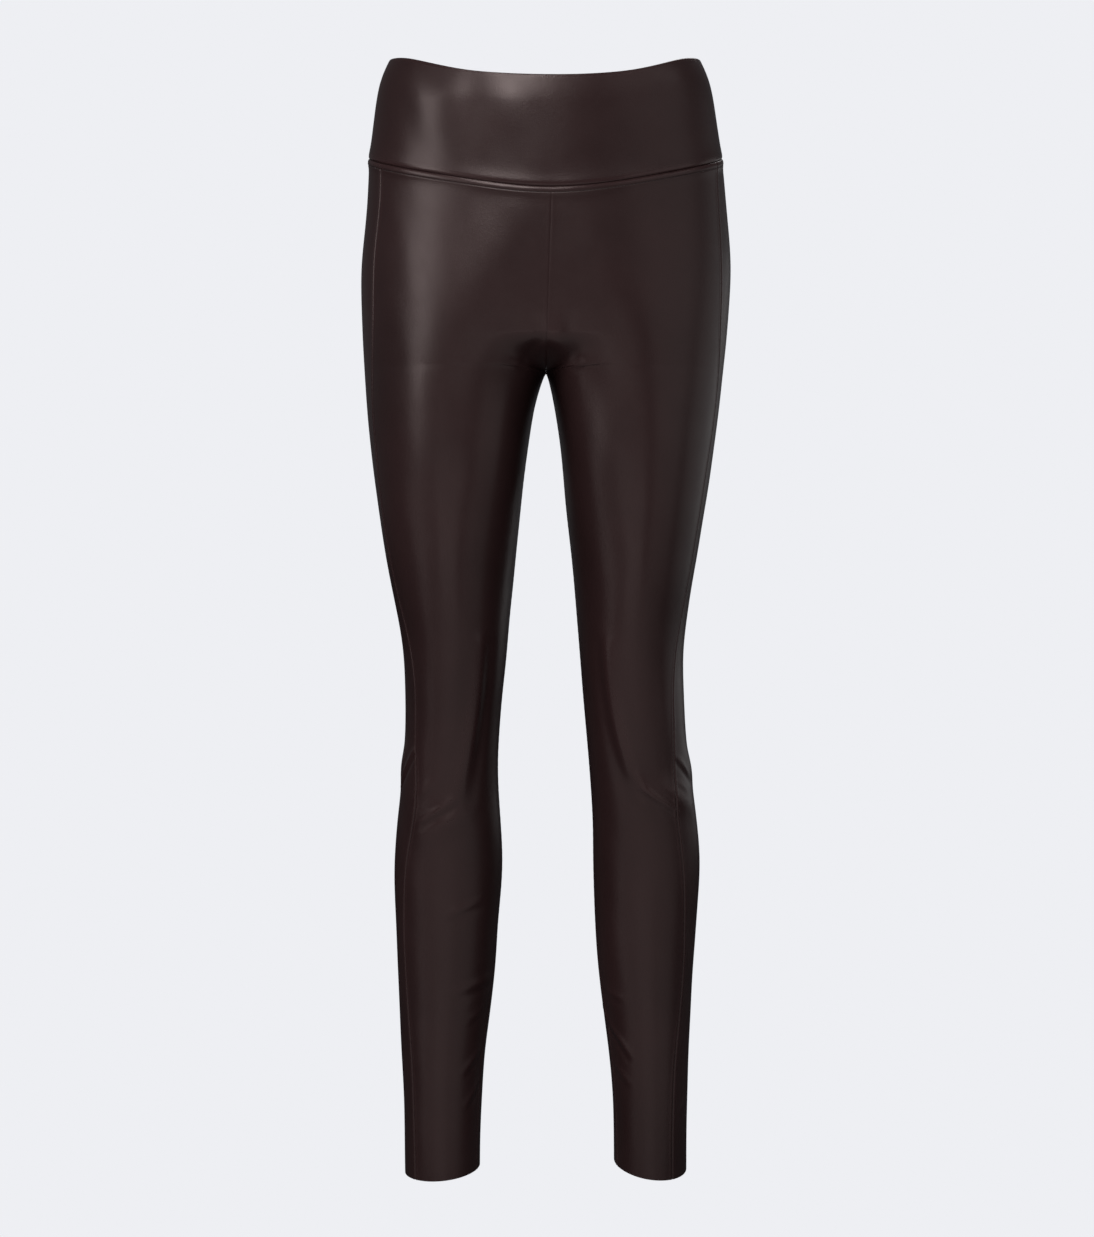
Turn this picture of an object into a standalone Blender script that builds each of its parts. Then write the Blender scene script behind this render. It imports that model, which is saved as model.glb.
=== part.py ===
"""High-waisted leggings in coated stretch cloth, filled out as if worn, with nobody inside.

Six cut-and-sewn pieces, each its own closed solid: the waistband in front and back halves, and a
front and a back panel for each leg. Every piece is a sheet of cloth laid over one smooth body form.

Sizes are millimetres until a mesh is written. +Z is up, the front faces -Y and the wearer's left is
+X. The origin is the centre of the waist, level with the middle of the waistband at the sides.
"""

import math
from typing import NamedTuple

import bmesh
import bpy
import numpy as np

MM = 0.001

# Cloth and seams.
LEG_CLOTH = 1.2
BAND_CLOTH = 2.2
SEAM_GAP = 0.3

# The crotch, where the four leg panels meet, and the two seam curves that run down to it.
CROTCH_HEIGHT = -235.0
FRONT_CURVE_TOP = -205.0
BACK_CURVE_TOP = -120.0
CROTCH_ROUND = 0.70  # handle length of the thighs' rounds at the crotch, which are squarer than a circle
SQUARE_HEIGHTS = (-190.0, -235.0, -300.0, -420.0)  # where that squareness starts, is full, fades and ends
LEG_SPREAD_POWER = 0.72  # the space between the legs widens with this power of the drop below the crotch
CENTRE_LEAN = 5.0  # how far the centre-front seam drifts to the wearer's left on its way up to the band

# Where the front and the seat change from one broad curve to the two rounds of the legs.
FRONT_CREST_HEIGHTS = (-30.0, -270.0)
BACK_CREST_HEIGHTS = (20.0, -200.0)

BAND_SIDE_SEAM_BACK = 10.0  # the waistband's side seams lie this far behind the side line
BAND_DEPTH = 89.0  # half the depth of the waist, which turns a place on it into an angle

INSEAM_FORWARD = 18.0  # the inseam turns this far towards the front on its way to the ankle
INSEAM_TURN_HEIGHTS = (-640.0, -840.0)

ROUND = 0.5523  # handle length that makes a Bezier quarter round
CURVE_STEPS = np.linspace(0.0, 1.0, 25)
STEP = 0.4  # distance over which a surface direction is measured

# The grid of a leg panel and of a waistband piece.
PANEL_COLUMNS = 11
CENTRE_SEAM_ROWS = 5
CROTCH_CURVE_ROWS = 10
CROTCH_ROWS = 9
CROTCH_ROWS_END = -330.0
THIGH_ROWS = 11
KNEE_TOP = -545.0
KNEE_ROWS = 17
KNEE_BOTTOM = -690.0
CALF_ROWS = 14
BAND_ROWS = 7
BAND_COLUMNS = 20


class SideRow(NamedTuple):
    """The side view at one height: foremost and rearmost depth, and depth of the outer and inner lines."""

    height: float
    front: float
    back: float
    side: float


SIDE_VIEW = (
    SideRow(50, -88, 88, 0),
    SideRow(20, -89, 90, 0),
    SideRow(-10, -91, 93, 0),
    SideRow(-45, -94, 99, 0),
    SideRow(-80, -96, 108, 2),
    SideRow(-140, -98, 122, 6),
    SideRow(-190, -97, 123, 8),
    SideRow(-235, -94, 113, 8),
    SideRow(-265, -93, 98, 6),
    SideRow(-300, -93, 88, 4),
    SideRow(-350, -91, 79, 1),
    SideRow(-400, -88, 72, -1),
    SideRow(-440, -84, 66, -2),
    SideRow(-480, -78, 60, -3),
    SideRow(-520, -71, 55, -2),
    SideRow(-570, -62, 51, 0),
    SideRow(-615, -53, 58, 6),
    SideRow(-665, -44, 71, 14),
    SideRow(-720, -38, 76, 19),
    SideRow(-775, -34, 73, 21),
    SideRow(-830, -31, 67, 20),
    SideRow(-880, -29, 62, 19),
    SideRow(-955, -27, 59, 17),
)


class FrontRow(NamedTuple):
    """One leg in the front view at one height, from the centre line: outer line, inner line, and how
    far inside the outer line the outseam lies."""

    height: float
    outer: float
    inner: float
    outseam: float


RIGHT_LEG = (
    FrontRow(50, 137.5, 0, 12.0),
    FrontRow(20, 147.8, 0, 12.0),
    FrontRow(-10, 152.8, 0, 12.0),
    FrontRow(-45, 157.0, 0, 12.3),
    FrontRow(-80, 158.9, 0, 13.2),
    FrontRow(-140, 164.0, 0, 13.1),
    FrontRow(-190, 163.6, 0, 11.8),
    FrontRow(-235, 161.4, 0, 9.0),
    FrontRow(-265, 159.3, 10.1, 7.1),
    FrontRow(-300, 155.7, 15.9, 5.5),
    FrontRow(-350, 149.7, 21.9, 4.6),
    FrontRow(-400, 142.0, 27.0, 4.8),
    FrontRow(-440, 134.1, 31.2, 5.6),
    FrontRow(-480, 127.4, 34.8, 8.6),
    FrontRow(-520, 125.2, 38.8, 11.0),
    FrontRow(-570, 125.8, 42.6, 11.4),
    FrontRow(-615, 129.9, 42.0, 15.4),
    FrontRow(-665, 134.7, 39.0, 12.2),
    FrontRow(-720, 134.4, 42.1, 8.9),
    FrontRow(-775, 132.1, 46.4, 8.4),
    FrontRow(-830, 129.8, 53.6, 9.9),
    FrontRow(-880, 127.4, 57.3, 10.2),
    FrontRow(-955, 125.6, 59.0, 10.2),
)

LEFT_LEG = (
    FrontRow(50, 135.8, 0, 6.0),
    FrontRow(20, 146.0, 0, 6.0),
    FrontRow(-10, 151.4, 0, 6.0),
    FrontRow(-45, 156.2, 0, 6.8),
    FrontRow(-80, 159.9, 0, 8.8),
    FrontRow(-140, 164.6, 0, 10.9),
    FrontRow(-190, 162.0, 0, 9.0),
    FrontRow(-235, 157.4, 0, 5.8),
    FrontRow(-265, 153.9, 7.5, 4.6),
    FrontRow(-300, 149.6, 13.0, 5.0),
    FrontRow(-350, 142.3, 17.8, 5.6),
    FrontRow(-400, 133.8, 22.8, 5.6),
    FrontRow(-440, 126.9, 26.6, 6.2),
    FrontRow(-480, 122.1, 29.7, 8.4),
    FrontRow(-520, 122.3, 32.8, 10.9),
    FrontRow(-570, 125.6, 37.2, 13.4),
    FrontRow(-615, 131.7, 41.0, 18.0),
    FrontRow(-665, 137.0, 42.5, 16.8),
    FrontRow(-720, 135.0, 43.8, 12.5),
    FrontRow(-775, 131.0, 48.0, 10.6),
    FrontRow(-830, 127.9, 54.9, 12.8),
    FrontRow(-880, 126.2, 59.3, 13.9),
    FrontRow(-955, 125.1, 60.5, 13.3),
)


class BandRow(NamedTuple):
    """The waistband's two edges at an angle from the side: 90 is the centre front, -90 the centre back."""

    angle: float
    seam: float
    top: float


BAND_EDGES = (
    BandRow(-90, -44.0, 40.5),
    BandRow(-60, -42.5, 41.5),
    BandRow(-30, -40.3, 43.0),
    BandRow(0, -44.7, 43.0),
    BandRow(30, -55.9, 38.6),
    BandRow(60, -70.0, 23.6),
    BandRow(90, -80.6, 17.8),
)


class Hem(NamedTuple):
    """A leg's bottom edge: its height, and how much it rises inwards and backwards for each millimetre."""

    height: float
    inward: float
    backward: float


class Fold(NamedTuple):
    """A crease between two places on a leg, each an angle round it (0 front, 90 outer) and a height."""

    start_angle: float
    start_height: float
    end_angle: float
    end_height: float
    lift: float
    half_width: float


RIGHT_FOLDS = (
    Fold(68, -571, 100, -600, 1.8, 11),
    Fold(18, -640, -18, -618, 1.6, 11),
    Fold(150, -596, 195, -604, -2.2, 12),
    Fold(160, -640, 215, -628, -1.8, 12),
)

LEFT_FOLDS = (
    Fold(52, -618, 10, -600, 1.6, 11),
    Fold(72, -575, 100, -598, 1.6, 11),
    Fold(145, -602, 200, -592, -2.2, 12),
    Fold(165, -630, 210, -642, -1.8, 12),
)

FOLD_RADIUS = 46.0  # turns an angle round the leg near the knee into a distance


class Leg(NamedTuple):
    """One side of the garment. Its own x runs outwards, and sign turns that into the garment's +X."""

    name: str
    sign: int
    rows: tuple
    hem: Hem
    folds: tuple


LEGS = (
    Leg("left", 1, LEFT_LEG, Hem(-939.9, 0.125, 0.19), LEFT_FOLDS),
    Leg("right", -1, RIGHT_LEG, Hem(-943.6, 0.09, 0.13), RIGHT_FOLDS),
)


def curve_through(places, values):
    """A smooth curve through the values, as a function: a natural cubic spline."""
    order = np.argsort(places)
    x = np.array(places, float)[order]
    y = np.array(values, float)[order]
    gap = np.diff(x)
    slope = np.diff(y) / gap
    bend = np.zeros(len(x))
    matrix = np.diag(2 * (gap[:-1] + gap[1:])) + np.diag(gap[1:-1], 1) + np.diag(gap[1:-1], -1)
    bend[1:-1] = np.linalg.solve(matrix, 6 * np.diff(slope))

    def value(at):
        at = np.clip(at, x[0], x[-1])
        k = np.clip(np.searchsorted(x, at) - 1, 0, len(gap) - 1)
        before = at - x[k]
        after = x[k + 1] - at
        bent = (bend[k] * after**3 + bend[k + 1] * before**3) / (6 * gap[k])
        low = (y[k] / gap[k] - bend[k] * gap[k] / 6) * after
        high = (y[k + 1] / gap[k] - bend[k + 1] * gap[k] / 6) * before
        return bent + low + high

    return value


def column(rows, name, key="height"):
    return curve_through([getattr(row, key) for row in rows], [getattr(row, name) for row in rows])


def mirrored_band_edge(name):
    """A band edge over all angles, flat where it crosses the centre front and the centre back."""
    angles = [row.angle for row in BAND_EDGES]
    values = [getattr(row, name) for row in BAND_EDGES]
    over_front = [(180 - a, v) for a, v in zip(angles[3:-1], values[3:-1])]
    over_back = [(-180 - a, v) for a, v in zip(angles[1:4], values[1:4])]
    both = list(zip(angles, values)) + over_front + over_back
    return curve_through([a for a, _ in both], [v for _, v in both])


SIDE_CURVES = {name: column(SIDE_VIEW, name) for name in ("front", "back", "side")}
LEG_CURVES = {
    leg.name: {name: column(leg.rows, name) for name in ("outer", "outseam")} for leg in LEGS
}
BAND_SEAM = mirrored_band_edge("seam")
BAND_TOP = mirrored_band_edge("top")


def spread_curve(leg):
    """The inner line, as the number that multiplies a power of the drop below the crotch."""
    rows = [row for row in leg.rows if row.inner > 0]
    ratios = [row.inner / (CROTCH_HEIGHT - row.height) ** LEG_SPREAD_POWER for row in rows]
    return curve_through([row.height for row in rows], ratios)


SPREAD_CURVES = {leg.name: spread_curve(leg) for leg in LEGS}


def smooth_share(value, start, end):
    """0 at start and 1 at end, eased at both."""
    share = np.clip((value - start) / (end - start), 0.0, 1.0)
    return share * share * (3 - 2 * share)


def crotch_share(heights, curve_top):
    """How far a seam curve has swung from its straight run, 0, to the crotch, 1: a quarter round."""
    fallen = np.clip((curve_top - heights) / (curve_top - CROTCH_HEIGHT), 0.0, 1.0)
    return 1 - np.sqrt(1 - fallen**2)


def thigh_round(heights):
    """Handle length of the front's inner rounds at each height: squarest at the crotch."""
    start, full, fading, end = SQUARE_HEIGHTS
    share = smooth_share(heights, start, full) * (1 - smooth_share(heights, fading, end))
    return ROUND + (CROTCH_ROUND - ROUND) * share


def quarter(start, start_pull, end_pull, end):
    """Bezier curves, one for each height, between points that are pulled towards two handles."""
    t = CURVE_STEPS[None, :, None]
    ends = start[:, None] * (1 - t) ** 3 + end[:, None] * t**3
    handles = start_pull[:, None] * 3 * t * (1 - t) ** 2 + end_pull[:, None] * 3 * t * t * (1 - t)
    return ends + handles


class Outline:
    """One leg's half of the garment's outer line at each height, from the centre front or the
    innermost place, past the front, the outer side and the back, to where it closes."""

    def __init__(self, leg, heights, seam_gap):
        self.leg = leg
        self.heights = np.asarray(heights, float)
        self.below = self.heights < CROTCH_HEIGHT
        self.points = self._points(seam_gap)
        steps = np.linalg.norm(np.diff(self.points, axis=1), axis=2)
        self.along = np.hstack([np.zeros((len(steps), 1)), np.cumsum(steps, axis=1)])
        self.length = self.along[:, -1]

    def _points(self, seam_gap):
        heights = self.heights
        front = SIDE_CURVES["front"](heights)
        back = SIDE_CURVES["back"](heights)
        side = SIDE_CURVES["side"](heights)
        outer = LEG_CURVES[self.leg.name]["outer"](heights)
        drop = np.maximum(CROTCH_HEIGHT - heights, 0.0)
        inner = seam_gap / 2 + SPREAD_CURVES[self.leg.name](heights) * drop**LEG_SPREAD_POWER
        front_swing = crotch_share(heights, FRONT_CURVE_TOP)
        back_swing = crotch_share(heights, BACK_CURVE_TOP)
        half_gap = np.where(self.below, 0.0, seam_gap / 2)
        front_seam = front + (side - half_gap - front) * front_swing
        back_seam = back + (side + half_gap - back) * back_swing
        front_crest = inner + (outer - inner) * 0.5 * smooth_share(heights, *FRONT_CREST_HEIGHTS)
        back_crest = inner + (outer - inner) * 0.5 * smooth_share(heights, *BACK_CREST_HEIGHTS)

        first = np.stack([inner, front_seam], axis=1)
        foremost = np.stack([front_crest, front], axis=1)
        outermost = np.stack([outer, side], axis=1)
        rearmost = np.stack([back_crest, back], axis=1)
        last = np.stack([inner, back_seam], axis=1)
        spans = (
            self._inner_quarter(first, foremost, np.sqrt(front_swing), thigh_round(heights)),
            self._outer_quarter(foremost, outermost),
            self._outer_quarter(outermost, rearmost, turned=True),
            self._inner_quarter(last, rearmost, np.sqrt(back_swing), np.full(len(heights), ROUND))[:, ::-1],
        )
        return np.concatenate([spans[0]] + [span[:, 1:] for span in spans[1:]], axis=1)

    @staticmethod
    def _inner_quarter(seam, crest, turn, handle):
        """From a seam to a crest: flat across the centre where turn is 0, round where it is 1."""
        reach = crest - seam
        angle = turn * math.pi / 2
        pull = np.stack([np.cos(angle) * reach[:, 0], np.sin(angle) * reach[:, 1]], axis=1)
        level = np.stack([reach[:, 0], np.zeros(len(reach))], axis=1)
        handle = handle[:, None]
        return quarter(seam, seam + handle * pull, crest - handle * level, crest)

    @staticmethod
    def _outer_quarter(start, end, turned=False):
        across = np.stack([end[:, 0] - start[:, 0], np.zeros(len(start))], axis=1)
        through = np.stack([np.zeros(len(start)), end[:, 1] - start[:, 1]], axis=1)
        if turned:
            return quarter(start, start + ROUND * through, end - ROUND * across, end)
        return quarter(start, start + ROUND * across, end - ROUND * through, end)

    def _distance_where(self, span, axis, wanted):
        """Distance along the line where a span first reaches a value of x (axis 0) or y (axis 1)."""
        steps = len(CURVE_STEPS) - 1
        columns = slice(span * steps, (span + 1) * steps + 1)
        found = [
            np.interp(want, points[columns, axis], along[columns])
            for want, points, along in zip(wanted, self.points, self.along)
        ]
        return np.array(found)

    def outseam(self):
        curves = LEG_CURVES[self.leg.name]
        wanted = curves["outer"](self.heights) - curves["outseam"](self.heights)
        return self._distance_where(1, 0, wanted)

    def inseam(self):
        return INSEAM_FORWARD * smooth_share(self.heights, *INSEAM_TURN_HEIGHTS)

    def band_side_seam(self):
        return self._distance_where(2, 1, SIDE_CURVES["side"](self.heights) + BAND_SIDE_SEAM_BACK)

    def at(self, distances):
        """Points at these distances along the line, one for each height."""
        past_end = np.where(self.below, np.mod(distances, self.length), distances)
        flat = np.array(
            [
                (np.interp(d, along, points[:, 0]), np.interp(d, along, points[:, 1]))
                for d, along, points in zip(past_end, self.along, self.points)
            ]
        )
        return np.column_stack([flat, self.heights])


def fold_lift(leg, points):
    """How far each crease raises the cloth at these points of a leg."""
    x, y, height = points.T
    outer = LEG_CURVES[leg.name]["outer"](height)
    drop = np.maximum(CROTCH_HEIGHT - height, 0.0)
    inner = SPREAD_CURVES[leg.name](height) * drop**LEG_SPREAD_POWER
    angle = np.degrees(np.arctan2(x - (outer + inner) / 2, SIDE_CURVES["side"](height) - y))
    lift = np.zeros(len(points))
    for fold in leg.folds:
        middle = (fold.start_angle + fold.end_angle) / 2
        turned = (angle - middle + 180) % 360 - 180 + middle
        start = np.array([math.radians(fold.start_angle) * FOLD_RADIUS, fold.start_height])
        end = np.array([math.radians(fold.end_angle) * FOLD_RADIUS, fold.end_height])
        place = np.column_stack([np.radians(turned) * FOLD_RADIUS, height]) - start
        length = np.linalg.norm(end - start)
        direction = (end - start) / length
        along = place @ direction
        across = place @ np.array([-direction[1], direction[0]])
        fade = np.clip(along / length, 0.0, 1.0)
        beyond = np.maximum(np.abs(along - length / 2) - length / 2, 0.0)
        near = np.exp(-(across**2 + beyond**2) / fold.half_width**2)
        lift += fold.lift * (0.6 + 0.4 * np.sin(fade * math.pi)) * near
    return lift


def leaned(leg, points):
    """The points with the centre-front seam's drift added: most at the centre, none at the sides."""
    outer = LEG_CURVES[leg.name]["outer"](points[:, 2])
    rise = (points[:, 2] - CROTCH_HEIGHT) / (BAND_EDGES[-1].seam - CROTCH_HEIGHT)
    front = np.clip(-points[:, 1] / BAND_DEPTH, 0.0, 1.0)
    across = CENTRE_LEAN * np.clip(rise, 0.0, 1.0) * front * (1 - (points[:, 0] / outer) ** 2)
    moved = points.copy()
    moved[:, 0] += leg.sign * across
    return moved


class Sheet(NamedTuple):
    """A grid of points on the body form with the way into the cloth at each, in garment coordinates."""

    outside: np.ndarray
    inward: np.ndarray


def sheet_on(leg, heights, distances, on_centre_seam, seam_gap):
    """The points at these heights and distances, with the inward direction of the cloth at each.

    Where two halves meet on the centre plane, inward stays in that plane and is longer, so that
    the wall keeps its thickness and its edge lies flat against its neighbour's."""
    shape = heights.shape
    flat_heights = heights.ravel()
    flat_distances = distances.ravel()
    centre = on_centre_seam.ravel()
    here = Outline(leg, flat_heights, seam_gap)
    lowest = np.where(centre, CROTCH_HEIGHT + 2 * STEP, -np.inf)
    direction_heights = np.maximum(flat_heights, lowest)
    middle = Outline(leg, direction_heights, seam_gap)
    above = Outline(leg, direction_heights + STEP, seam_gap)
    under = Outline(leg, direction_heights - STEP, seam_gap)
    share = flat_distances / here.length
    reach = share * middle.length
    least = np.where(here.below, reach - STEP, np.maximum(reach - STEP, 0.0))
    most = np.where(here.below, reach + STEP, np.minimum(reach + STEP, middle.length))
    along = middle.at(most) - middle.at(least)
    upward = above.at(share * above.length) - under.at(share * under.length)
    outward = np.cross(along, upward)
    outward /= np.linalg.norm(outward, axis=1, keepdims=True)

    points = here.at(flat_distances)
    points += outward * fold_lift(leg, points)[:, None]
    in_plane = outward.copy()
    in_plane[:, 0] = 0.0
    in_plane /= np.maximum((in_plane**2).sum(axis=1, keepdims=True), 0.3)
    inward = -np.where(centre[:, None], in_plane, outward)
    points = leaned(leg, points)
    mirror = np.array([leg.sign, 1, 1])
    return Sheet((points * mirror).reshape(*shape, 3), (inward * mirror).reshape(*shape, 3))


def joined(first, second):
    """Two sheets side by side that share their centre line."""
    outside = np.concatenate([first.outside[:, ::-1], second.outside[:, 1:]], axis=1)
    inward = np.concatenate([first.inward[:, ::-1], second.inward[:, 1:]], axis=1)
    return Sheet(outside, inward)


def angle_from_side(leg, points):
    """The angle round the waist of each point: 90 at the centre front, 0 at the side."""
    outer = LEG_CURVES[leg.name]["outer"](points[:, 2])
    return np.degrees(np.arctan2(-points[:, 1] / BAND_DEPTH, points[:, 0] / outer))


def band_edge_heights(leg, edge, shares, distance_of, seam_gap):
    """The height of a band edge at each share of a piece's width."""
    heights = np.full(len(shares), edge(0.0))
    for _ in range(4):
        outline = Outline(leg, heights, seam_gap)
        points = outline.at(distance_of(outline, shares))
        heights = edge(angle_from_side(leg, points))
    return heights


def hem_heights(leg, shares, distance_of):
    """The height of the hem at each share of a leg panel's width."""
    heights = np.full(len(shares), leg.hem.height)
    for _ in range(4):
        outline = Outline(leg, heights, SEAM_GAP)
        points = outline.at(distance_of(outline, shares))
        centre = (outline.points[..., 0].max(axis=1) + outline.points[..., 0].min(axis=1)) / 2
        inward = leg.hem.inward * (centre - points[:, 0])
        backward = leg.hem.backward * (points[:, 1] - SIDE_CURVES["side"](heights))
        heights = leg.hem.height + inward + backward
    return heights


def front_distance(outline, shares):
    """Distance along the line at a share of the front panel, from its inner edge to the outseam."""
    start = np.where(outline.below, outline.inseam() + SEAM_GAP / 2, 0.0)
    return start + (outline.outseam() - SEAM_GAP / 2 - start) * shares


def back_distance(outline, shares):
    """Distance along the line at a share of the back panel, from its inner edge to the outseam."""
    end = outline.length + np.where(outline.below, outline.inseam() - SEAM_GAP / 2, 0.0)
    return end + (outline.outseam() + SEAM_GAP / 2 - end) * shares


def leg_row_heights(top, hem, curve_top):
    """Row heights down a panel's inner edge: close together round the crotch and at the knee."""
    swing = np.linspace(0, math.pi / 2, CROTCH_CURVE_ROWS + 1)[1:]
    down_seam = np.linspace(top, curve_top, CENTRE_SEAM_ROWS + 1)
    round_crotch = curve_top - (curve_top - CROTCH_HEIGHT) * np.sin(swing)
    opening = (np.arange(1, CROTCH_ROWS + 1) / CROTCH_ROWS) ** 1.6
    under_crotch = CROTCH_HEIGHT + (CROTCH_ROWS_END - CROTCH_HEIGHT) * opening
    thigh = np.linspace(CROTCH_ROWS_END, KNEE_TOP, THIGH_ROWS + 1)[1:]
    knee = np.linspace(KNEE_TOP, KNEE_BOTTOM, KNEE_ROWS + 1)[1:]
    calf = np.linspace(KNEE_BOTTOM, hem, CALF_ROWS + 1)[1:]
    return np.concatenate([down_seam, round_crotch, under_crotch, thigh, knee, calf])


def outer_row_heights(top, hem):
    """Row heights down the outseam, as many as down the inner edge and level with them at the knee."""
    upper_rows = CENTRE_SEAM_ROWS + CROTCH_CURVE_ROWS + CROTCH_ROWS + THIGH_ROWS
    upper = np.linspace(top, KNEE_TOP, upper_rows + 1)
    knee = np.linspace(KNEE_TOP, KNEE_BOTTOM, KNEE_ROWS + 1)[1:]
    calf = np.linspace(KNEE_BOTTOM, hem, CALF_ROWS + 1)[1:]
    return np.concatenate([upper, knee, calf])


def leg_panel(leg, distance_of, curve_top):
    """One leg panel as a sheet: rows from the waistband seam to the hem, columns from its inner edge."""
    shares = np.linspace(0.0, 1.0, PANEL_COLUMNS + 1)
    tops = band_edge_heights(leg, BAND_SEAM, shares, distance_of, SEAM_GAP) - SEAM_GAP / 2
    hems = hem_heights(leg, shares, distance_of)
    inner_rows = leg_row_heights(tops[0], hems[0], curve_top)
    outer_rows = outer_row_heights(tops[-1], hems[-1])
    inner_fall = ((tops[0] - inner_rows) / (tops[0] - hems[0]))[:, None]
    outer_fall = ((tops[-1] - outer_rows) / (tops[-1] - hems[-1]))[:, None]
    inner_weight = (1 - smooth_share(shares, 0.0, 0.9))[None]
    fall = inner_fall * inner_weight + outer_fall * (1 - inner_weight)
    heights = tops + (hems - tops) * fall
    heights[:, 0] = inner_rows

    columns = np.broadcast_to(shares, heights.shape)
    outline = Outline(leg, heights.ravel(), SEAM_GAP)
    distances = distance_of(outline, columns.ravel()).reshape(heights.shape)
    on_centre_seam = (columns == 0) & (heights >= CROTCH_HEIGHT)
    return sheet_on(leg, heights, distances, on_centre_seam, SEAM_GAP)


def half_band(leg, distance_of):
    """Half of a waistband piece, from the centre line to the side seam."""
    shares = np.linspace(0.0, 1.0, BAND_COLUMNS + 1)
    bottoms = band_edge_heights(leg, BAND_SEAM, shares, distance_of, 0.0) + SEAM_GAP / 2
    tops = band_edge_heights(leg, BAND_TOP, shares, distance_of, 0.0)
    rise = np.linspace(0.0, 1.0, BAND_ROWS + 1)[:, None]
    heights = bottoms + (tops - bottoms) * rise
    columns = np.broadcast_to(shares, heights.shape)
    outline = Outline(leg, heights.ravel(), 0.0)
    distances = distance_of(outline, columns.ravel()).reshape(heights.shape)
    return sheet_on(leg, heights, distances, columns == 0, 0.0)


def band_front_distance(outline, shares):
    return (outline.band_side_seam() - SEAM_GAP / 2) * shares


def band_back_distance(outline, shares):
    return outline.length + (outline.band_side_seam() + SEAM_GAP / 2 - outline.length) * shares


def cloth_material(name, colour, roughness):
    """Coated cloth: dark, with a soft sheen."""
    material = bpy.data.materials.new(name)
    material.use_nodes = True
    shader = material.node_tree.nodes["Principled BSDF"]
    shader.inputs["Base Color"].default_value = (*colour, 1.0)
    shader.inputs["Roughness"].default_value = roughness
    shader.inputs["Metallic"].default_value = 0.0
    material.diffuse_color = (*colour, 1.0)
    return material


def add_piece(name, sheet, thickness, material):
    """A closed solid from a sheet: its outside, its inside and the rim between them."""
    rows, columns = sheet.outside.shape[:2]
    bm = bmesh.new()
    layers = [
        [[bm.verts.new(point * MM) for point in row] for row in layer]
        for layer in (sheet.outside, sheet.outside + sheet.inward * thickness)
    ]
    outside, inside = layers
    for r in range(rows - 1):
        for c in range(columns - 1):
            for layer in layers:
                bm.faces.new((layer[r][c], layer[r][c + 1], layer[r + 1][c + 1], layer[r + 1][c]))
    edges = [[(r, c) for c in range(columns)] for r in (0, rows - 1)]
    edges += [[(r, c) for r in range(rows)] for c in (0, columns - 1)]
    for edge in edges:
        for (r0, c0), (r1, c1) in zip(edge, edge[1:]):
            bm.faces.new((outside[r0][c0], outside[r1][c1], inside[r1][c1], inside[r0][c0]))
    bmesh.ops.recalc_face_normals(bm, faces=bm.faces)
    mesh = bpy.data.meshes.new(name)
    bm.to_mesh(mesh)
    bm.free()
    mesh.materials.append(material)
    mesh.shade_smooth()
    mesh.set_sharp_from_angle(angle=math.radians(50))
    piece = bpy.data.objects.new(name, mesh)
    bpy.context.scene.collection.objects.link(piece)
    return piece


def clear_scene():
    for obj in list(bpy.data.objects):
        bpy.data.objects.remove(obj)


def build():
    clear_scene()
    brown = (0.030, 0.020, 0.018)
    leather = cloth_material("coated_cloth", brown, 0.38)
    band = cloth_material("coated_cloth_doubled", brown, 0.34)
    for leg in LEGS:
        front = leg_panel(leg, front_distance, FRONT_CURVE_TOP)
        back = leg_panel(leg, back_distance, BACK_CURVE_TOP)
        add_piece(f"front_{leg.name}", front, LEG_CLOTH, leather)
        add_piece(f"back_{leg.name}", back, LEG_CLOTH, leather)
    left, right = LEGS
    for name, distance_of in (("front", band_front_distance), ("back", band_back_distance)):
        whole = joined(half_band(right, distance_of), half_band(left, distance_of))
        add_piece(f"waistband_{name}", whole, BAND_CLOTH, band)


build()
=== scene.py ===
"""The finished look of high-waisted leggings in coated stretch cloth, filled out as if worn.

Each of the six cut-and-sewn pieces is a thin shell on the same body form as its solid, with its
seams, creases, rolled and cut edges and stitches. Sizes are millimetres until a mesh is written. +Z is up,
the front faces -Y and the wearer's left is +X. The origin is the centre of the waist, level with the
middle of the waistband at the sides.
"""

import math
from typing import NamedTuple

import bpy
import numpy as np
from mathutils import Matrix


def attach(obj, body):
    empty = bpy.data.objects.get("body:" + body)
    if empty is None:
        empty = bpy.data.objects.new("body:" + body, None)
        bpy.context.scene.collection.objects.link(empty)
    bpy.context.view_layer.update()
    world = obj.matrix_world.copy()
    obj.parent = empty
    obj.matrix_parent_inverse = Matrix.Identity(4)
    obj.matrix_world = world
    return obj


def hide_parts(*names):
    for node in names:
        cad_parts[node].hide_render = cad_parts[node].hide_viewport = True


MM = 0.001

# Cloth and seams.
LEG_CLOTH = 1.2
BAND_CLOTH = 2.2
SEAM_GAP = 0.02

# The crotch, where the four leg panels meet, and the two seam curves that run down to it.
CROTCH_HEIGHT = -235.0
FRONT_CURVE_TOP = -205.0
BACK_CURVE_TOP = -120.0
CROTCH_ROUND = 0.70  # handle length of the thighs' rounds at the crotch, which are squarer than a circle
SQUARE_HEIGHTS = (-190.0, -235.0, -300.0, -420.0)  # where that squareness starts, is full, fades and ends
LEG_SPREAD_POWER = 0.72  # the space between the legs widens with this power of the drop below the crotch
CENTRE_LEAN = 5.0  # how far the centre-front seam drifts to the wearer's left on its way up to the band

# Where the front and the seat change from one broad curve to the two rounds of the legs, and how far
# across a leg its crest then lies.
FRONT_CREST_HEIGHTS = (-30.0, -270.0)
BACK_CREST_HEIGHTS = (20.0, -200.0)
CREST_ACROSS = 0.5

BAND_SIDE_SEAM_BACK = 10.0  # the waistband's side seams lie this far behind the side line
BAND_DEPTH = 89.0  # half the depth of the waist, which turns a place on it into an angle

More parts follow.
